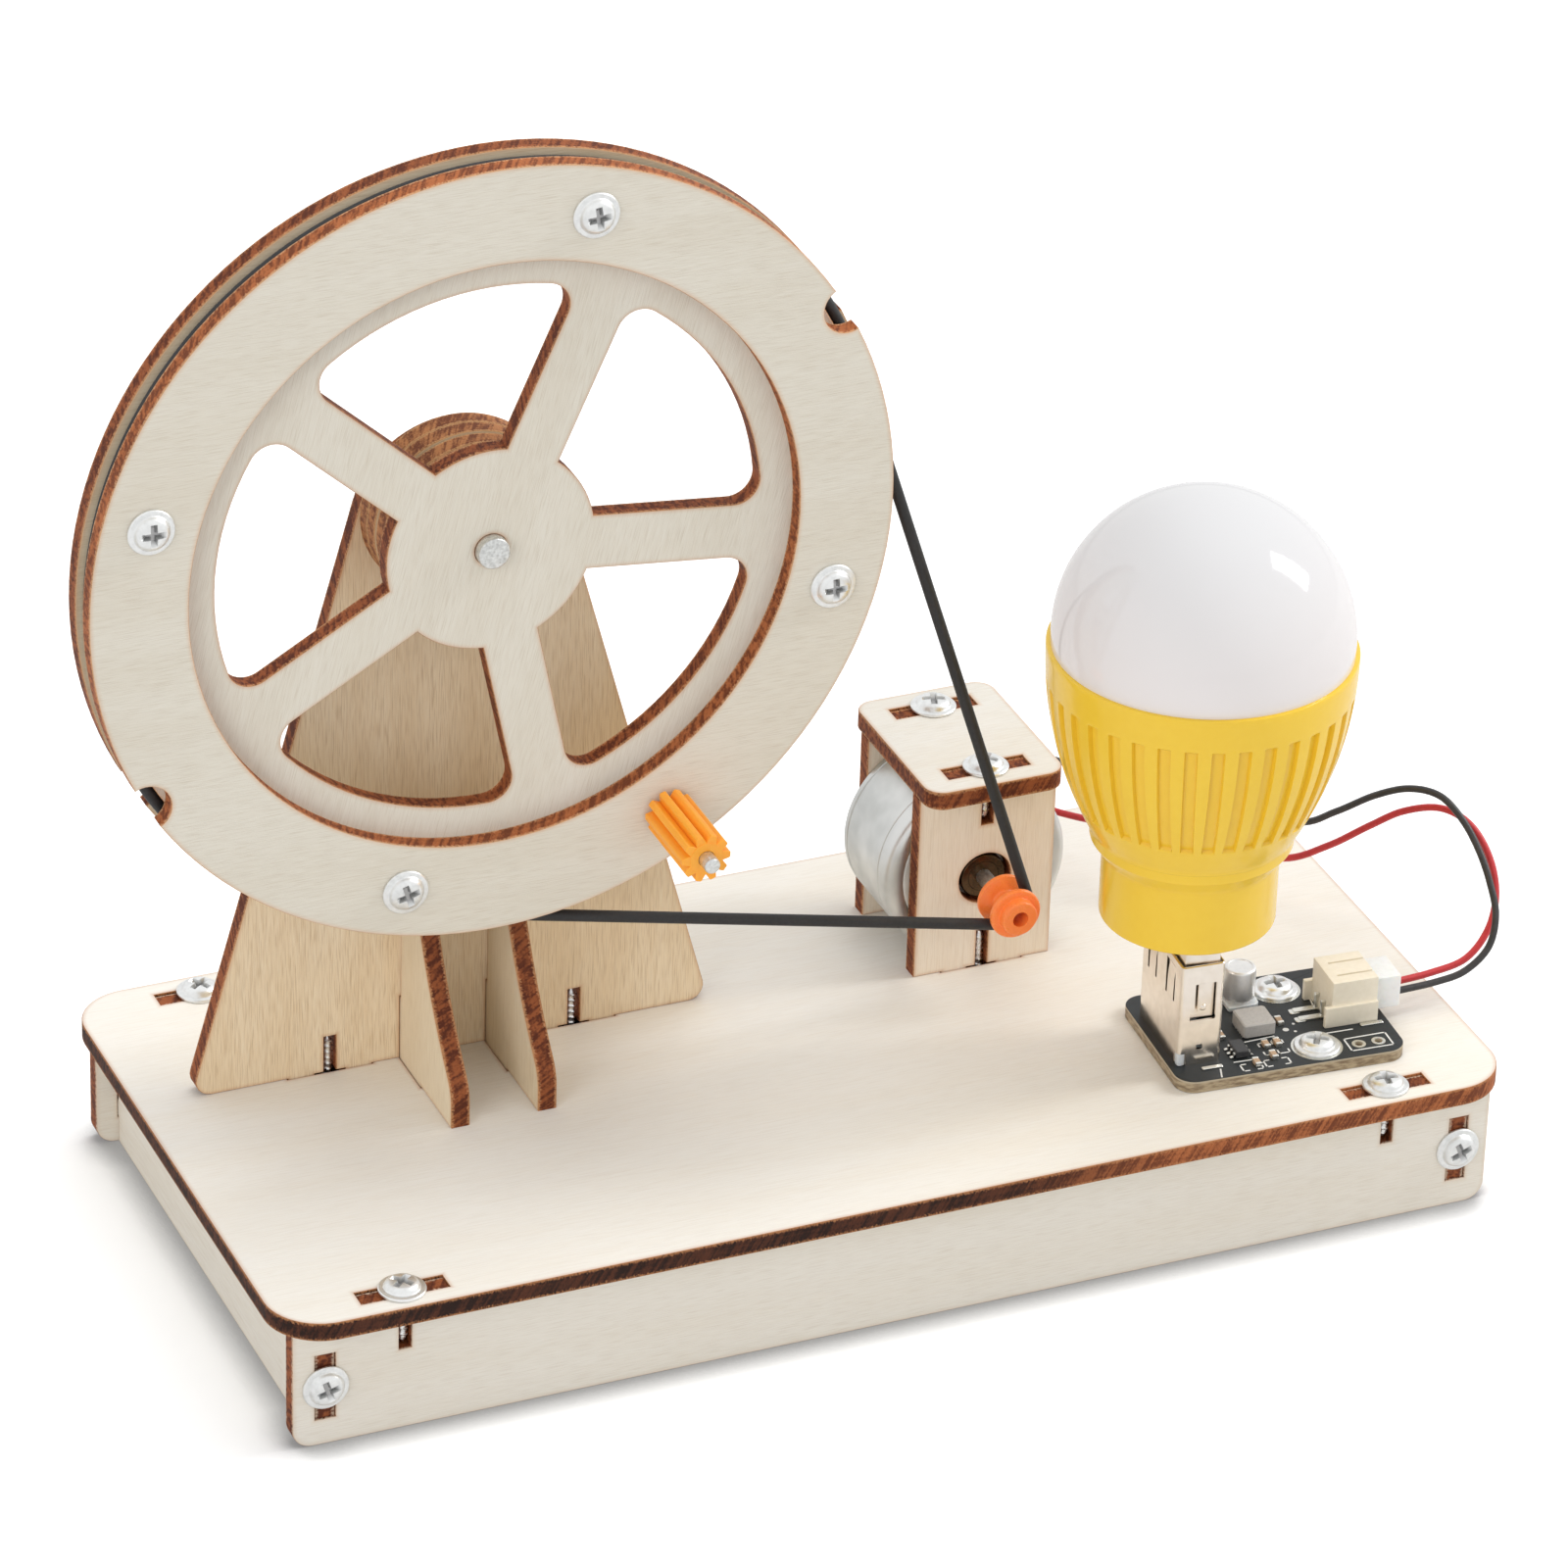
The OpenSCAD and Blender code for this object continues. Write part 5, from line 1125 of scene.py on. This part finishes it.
def smoothRoute(stops):
    ends = [2 * stops[0] - stops[1]] + stops + [2 * stops[-1] - stops[-2]]
    points = []
    for a, b, c, d in zip(ends, ends[1:], ends[2:], ends[3:]):
        for t in spaced(0, 1, wireShape["steps"])[:-1]:
            bend = (2 * a - 5 * b + 4 * c - d) * t ** 2 + (3 * b - a - 3 * c + d) * t ** 3
            points.append((2 * b + (c - a) * t + bend) / 2)
    return points + [stops[-1]]


wirePlug = addPiece("wire_plug", easedCopy("wire_plug", 0.12), "whitePlastic")
for node, stops, look, slotName in (("red_wire", redRoute, "redSleeve", "red_sleeve"),
                                    ("black_wire", blackRoute, "blackSleeve", "black_sleeve")):
    path = smoothRoute([Vector((x, y, z + wireShape["lift"])) * mm for x, y, z in stops])
    bm = bmesh.new()
    tube(bm, path, wireShape["thick"] / 2 * mm, wireShape["sides"])
    wire = addPiece(node, meshFrom(bm), look)
    length = sum((b - a).length for a, b in zip(path, path[1:]))
print("wires made")

# circuit board

boardEdge = {"thick": 1.6, "round": 0.06, "steps": 2, "gap": 0, "scorch": 0}
printShape = {
    "wide": 0.2, "thick": 0.02, "arm": 0.7,
    "lines": [
        [(-3.9, -3.5), (0, -3.2)], [(-6.9, -7.5), (-3.8, -7.55)], [(7, 3.7), (7.6, 3.7), (7.4, 2.2)],
        [(6.6, -4.4), (9.9, -4.4)], [(8, -6.3), (13.5, -6.2), (13.5, -9.1), (8, -9.1), (8, -6.3)],
        [(-9.1, -8.5), (-9.6, -10.2)]],
    "uprightBrackets": [(-2.6, -7.1, -1.5, -4.3), (-0.8, -7.15, 0.6, -4.1)],
    "lyingBrackets": [(-6.5, -9.75, -3.9, -8.3), (-3.4, -9.6, -0.2, -8.2)],
    "dots": [(2, -2.2, 0.4), (2.3, 0.6, 0.22), (3.4, -1.2, 0.2), (3.0, -2.9, 0.2)],
}
padShape = {
    "thick": 0.03,
    "rings": [  # x, y, inner and outer radius, steps
        (screwRows["boardX"], -screwRows["boardY"], 0.85, 3.2, 40),
        (screwRows["boardX"], screwRows["boardY"], 0.85, 3.2, 40),
        (9.4, -7.8, 0.5, 0.88, 32), (12, -7.8, 0.5, 0.88, 32)],
    "bars": [  # low and high corner, corner radius, height, edge
        (11.2, -4.2, 14.2, -3.55, 0.15, 0.18, 0.05), (11.2, 4.35, 14.2, 5.0, 0.15, 0.18, 0.05),
        (3.9, -1.15, 5.2, -0.05, 0.2, 0.12, 0.04), (3.9, 0.85, 5.2, 1.95, 0.2, 0.12, 0.04),
        (-11.3, -8.2, -8.6, -7.6, 0.15, 0.2, 0.06)],
}


def onBoard(x, y, z):
    return Vector((*turnedOnBoard(x, y), boardPlace["top"] + z)) * mm


def standingAt(x, y):
    return lambda u, v, s: onBoard(x + u, y + v, s)


def makePrint():
    size, arm = printShape, printShape["arm"]
    lines = list(size["lines"])
    for x0, y0, x1, y1 in size["uprightBrackets"]:
        lines += [[(x0, y + out), (x0, y), (x1, y), (x1, y + out)] for y, out in ((y0, arm), (y1, -arm))]
    for x0, y0, x1, y1 in size["lyingBrackets"]:
        lines += [[(x + out, y0), (x, y0), (x, y1), (x + out, y1)] for x, out in ((x0, arm), (x1, -arm))]
    bm = bmesh.new()
    for a, b in ((Vector(a), Vector(b)) for line in lines for a, b in zip(line, line[1:])):
        ahead = (b - a).normalized() * size["wide"] / 2
        side = Vector((-ahead.y, ahead.x))
        corners = (a - ahead - side, b + ahead - side, b + ahead + side, a - ahead + side)
        slab(bm, corners, 0, size["thick"], onBoard)
    for x, y, radius in size["dots"]:
        slab(bm, circle(radius, 12, x, y), 0, size["thick"], onBoard)
    return meshFrom(bm)


def makePads():
    bm = bmesh.new()
    for x, y, inner, outer, steps in padShape["rings"]:
        profile = [(inner, 0), (outer, 0), (outer, padShape["thick"]), (inner, padShape["thick"])]
        lathe(bm, profile, steps, standingAt(x, y), True)
    for *corners, height, edge in padShape["bars"]:
        slab(bm, box(*corners), 0, height, onBoard, edge)
    return meshFrom(bm)


addPiece("circuit_board", sheetMesh("circuit_board", "z", boardEdge), "maskResin")
addPiece("board_print", makePrint(), "printWhite")
addPiece("board_pads", makePads(), "tin")
print("board made")

shellShape = {
    "low": (-14.05, -6.55), "high": (-8.35, 6.55), "wall": 0.3, "round": 0.6, "tall": 14, "lip": 0.1,
    "windows": [  # cut through the sheet, as low and high corners
        ((-12.2, -7, 6.25), (-9.4, -6, 11.4)), ((-12.75, -7, 6.2), (-9.4, -6, 7.3)),
        ((-11.7, -7, 2.15), (-10.9, -6, 2.8)),
        ((-14.5, -4.4, 8.1), (-13.5, -1.5, 13)), ((-14.5, 1.5, 8.1), (-13.5, 4.4, 13)),
        ((-8.9, -4.4, 8.1), (-8, -1.5, 13)), ((-8.9, 1.5, 8.1), (-8, 4.4, 13)),
        ((-14.5, -7, -1), (-13.0, -5.4, 1.7))],
    "pocket": ((-12.0, -6.7, 1.9), (-10.6, -4.6, 3.1)),
    "post": (-14.0, -6.5, -13.0, -5.4, 0.3), "postTall": 1.65,
    "fingerThick": 0.25, "fingerWide": 2.05, "fingerPlace": 2.95,
    "finger": [(0, 8), (0.02, 9.5), (0.06, 11), (0.2, 12.2), (0.16, 12.7)],  # depth and height
    "endFingerWide": 1.55, "endFingerPlace": -11.0,
    "endFinger": [(0, 11.45), (0.02, 9.8), (0.06, 8.4), (0.12, 7.45)],
    "dimple": [(0.45, 0.1), (0.36, -0.02), (0.2, -0.08), (0, -0.1)], "dimplePlace": (-11.05, 8.0),
}


def boardBoxes(corners):
    bm = bmesh.new()
    for low, high in corners:
        slab(bm, box(*low[:2], *high[:2]), low[2], high[2], onBoard)
    return meshFrom(bm)


def bentStrip(bm, points, wide, place):
    thick = shellShape["fingerThick"]
    capped(bm, [[bm.verts.new(place(depth + d, t, s)) for d, t in box(0, -wide / 2, thick, wide / 2)]
                for depth, s in points])


def makeSocketShell():
    size = shellShape
    (x0, y0), (x1, y1), wall, lip, tall = (size[key] for key in ("low", "high", "wall", "lip", "tall"))
    bm = bmesh.new()
    rings = []
    levels = [(0, 0), (0, tall - lip), (lip, tall), (wall - lip / 2, tall), (wall, tall - lip), (wall, 0)]
    for inset, s in levels:
        outline = box(x0 + inset, y0 + inset, x1 - inset, y1 - inset, size["round"] - inset, 5)
        rings.append([bm.verts.new(onBoard(x, y, s)) for x, y in outline])
    skin(bm, rings, True)
    bm = opened(cutAway(meshFrom(bm), boardBoxes(size["windows"])))
    for side, face in ((1, x0), (-1, x1)):
        for y in (-size["fingerPlace"], size["fingerPlace"]):
            bentStrip(bm, size["finger"], size["fingerWide"],
                      lambda d, t, s: onBoard(face + side * d, y + t, s))
    bentStrip(bm, size["endFinger"], size["endFingerWide"],
              lambda d, t, s: onBoard(size["endFingerPlace"] + t, y0 + d, s))
    x, z = size["dimplePlace"]
    lathe(bm, size["dimple"], 16, lambda u, v, s: onBoard(x + u, y0 + s, z + v))
    return meshFrom(bm, 30)


def makeSocketBlock():
    bm = opened(cutAway(easedCopy("usb_socket_insert", 0.06), boardBoxes([shellShape["pocket"]])))
    slab(bm, box(*shellShape["post"]), 0, shellShape["postTall"], onBoard, 0.1)
    return meshFrom(bm)


addPiece("usb_socket_shell", makeSocketShell(), "nickel", name="socketShell")
addPiece("usb_socket_insert", makeSocketBlock(), "whitePlastic", name="socketBlock")
addPiece("usb_plug_shell", easedCopy("usb_plug_shell", 0.25, 3), "nickel", "bulb", "bulbPlugShell")
addPiece("usb_plug_insert", easedCopy("usb_plug_insert", 0.1), "whitePlastic", "bulb",
         "bulbPlugBlock")
print("socket made")

canisterShape = {
    "place": (-1.2, 5.6), "foot": 2.1, "footTall": 0.65, "footRounds": (0.2, 0.9, 0.9, 0.2), "footEdge": 0.12,
    "can": [(0, 0.5), (1.75, 0.5), (1.75, 0.9, 0.1), (2, 1.1, 0.1), (2, 5.2, 0.35),
            (1.55, 5.2), (1.5, 5.14), (0, 5.14)],
}
coilShape = {"place": (-1.8, -1), "half": 2.1, "low": 0.12, "tall": 2, "round": 0.35, "edge": 0.16,
             "foot": (0.5, 1.5, 0.3), "footIn": 0.55}  # foot: half width, half length, height
chipShape = {"place": (-5.6, -5.6), "wide": 0.85, "long": 1.45, "low": 0.15, "tall": 1.1, "edge": 0.1,
             "legs": (-0.95, 0, 0.95), "legHalf": 0.2, "legThick": 0.12,
             "leg": [(-0.1, 0.6), (0.2, 0.55), (0.3, 0.15), (0.65, 0.06)]}  # beyond the side, height
partShape = {"body": (-0.38, -0.5, 0.38, 0.5, 0.05), "tall": 0.55, "end": (0.4, 0.18, 0.06), "endTall": 0.58,
             "endPlace": 0.62, "edge": 0.05}
partSpots = [(-1.8, -5), (-0.3, -5), (-1.8, -7.6), (-4.4, -8.6), (1.8, -0.4), (-6.4, -1.6)]


def makeCapacitor():
    size = canisterShape
    (x, y), foot = size["place"], size["foot"]
    bm = bmesh.new()
    lathe(bm, rounded(size["can"]), 64, standingAt(x, y))
    corners = box(x - foot, y - foot, x + foot, y + foot)
    outline = rounded([(*corner, r) for corner, r in zip(corners, size["footRounds"])])
    slab(bm, outline, 0, size["footTall"], onBoard, size["footEdge"], 1)
    return meshFrom(bm, 30)


def makeCoil():
    size = coilShape
    (x, y), half, (wide, long, tall) = size["place"], size["half"], size["foot"]
    bm = bmesh.new()
    outline = box(x - half, y - half, x + half, y + half, size["round"])
    slab(bm, outline, size["low"], size["tall"], onBoard, size["edge"])
    for middle in (x - half + size["footIn"], x + half - size["footIn"]):
        slab(bm, box(middle - wide, y - long, middle + wide, y + long), 0, tall, onBoard, 0.03, 1)
    return meshFrom(bm, 30)


def makeChip():
    size = chipShape
    (x, y), wide, long = size["place"], size["wide"], size["long"]
    bm = bmesh.new()
    outline = box(x - wide, y - long, x + wide, y + long, size["edge"])
    slab(bm, outline, size["low"], size["tall"], onBoard, size["edge"])
    section = box(-size["legHalf"], 0, size["legHalf"], size["legThick"])
    for side in (-1, 1):
        for step in size["legs"]:
            rings = [[bm.verts.new(onBoard(x + side * (wide + d), y + step + t, s + h)) for t, h in section]
                     for d, s in size["leg"]]
            capped(bm, rings, 1)
    return meshFrom(bm, 30)


def makeChipPart():
    size, flat = partShape, alongZ(0, 0)
    wide, half, radius = size["end"]
    bm = bmesh.new()
    slab(bm, box(*size["body"]), 0, size["tall"], flat, size["edge"])
    for middle in (-size["endPlace"], size["endPlace"]):
        outline = box(-wide, middle - half, wide, middle + half, radius)
        slab(bm, outline, 0, size["endTall"], flat, size["edge"], 1)
    mesh = meshFrom(bm, 30)
    ends = mesh.attributes.new("end", "BOOLEAN", "FACE")
    for item, face in zip(ends.data, mesh.polygons):
        item.value = face.material_index == 1
    return mesh


def makeSpotTree():
    inputs = {"Part": "Object", "Body look": "Material", "End look": "Material"}
    tree, given, out = shapeTree("partSpots", inputs)
    turn = turnAbout(tree, (0, 0, 1), named(tree, "turn"))
    body = painted(tree, copiesOn(tree, given["Part"], given["Geometry"], turn), given["Body look"])
    ends = painted(tree, body, given["End look"], Selection=named(tree, "end", "BOOLEAN"))
    feed(tree, out, {"Geometry": ends})
    return tree


def makeChipParts():
    part = addObject("chipPart", makeChipPart())
    turns = [math.radians(boardPlace["turn"])] * len(partSpots)
    points = pointMesh([onBoard(x, y, 0) for x, y in partSpots], "turn", "FLOAT", "value", turns)
    values = {"Part": part, "Body look": looks["chipTan"], "End look": looks["tin"]}
    grown = grow(points, makeSpotTree(), values)
    bpy.data.objects.remove(part)
    return grown


addPiece("capacitor", makeCapacitor(), "canAlu whitePlastic")
addPiece("inductor", makeCoil(), "coilGrey tin")
addPiece("converter_chip", makeChip(), "blackPlastic tin")
addPiece("chip_resistors", makeChipParts(), "chipTan")
addPiece("wire_header", easedCopy("wire_header", 0.1), "creamPlastic")
addPiece("header_pins", easedCopy("header_pins", 0.06), "tin")
print("board parts made")

low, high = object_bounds()
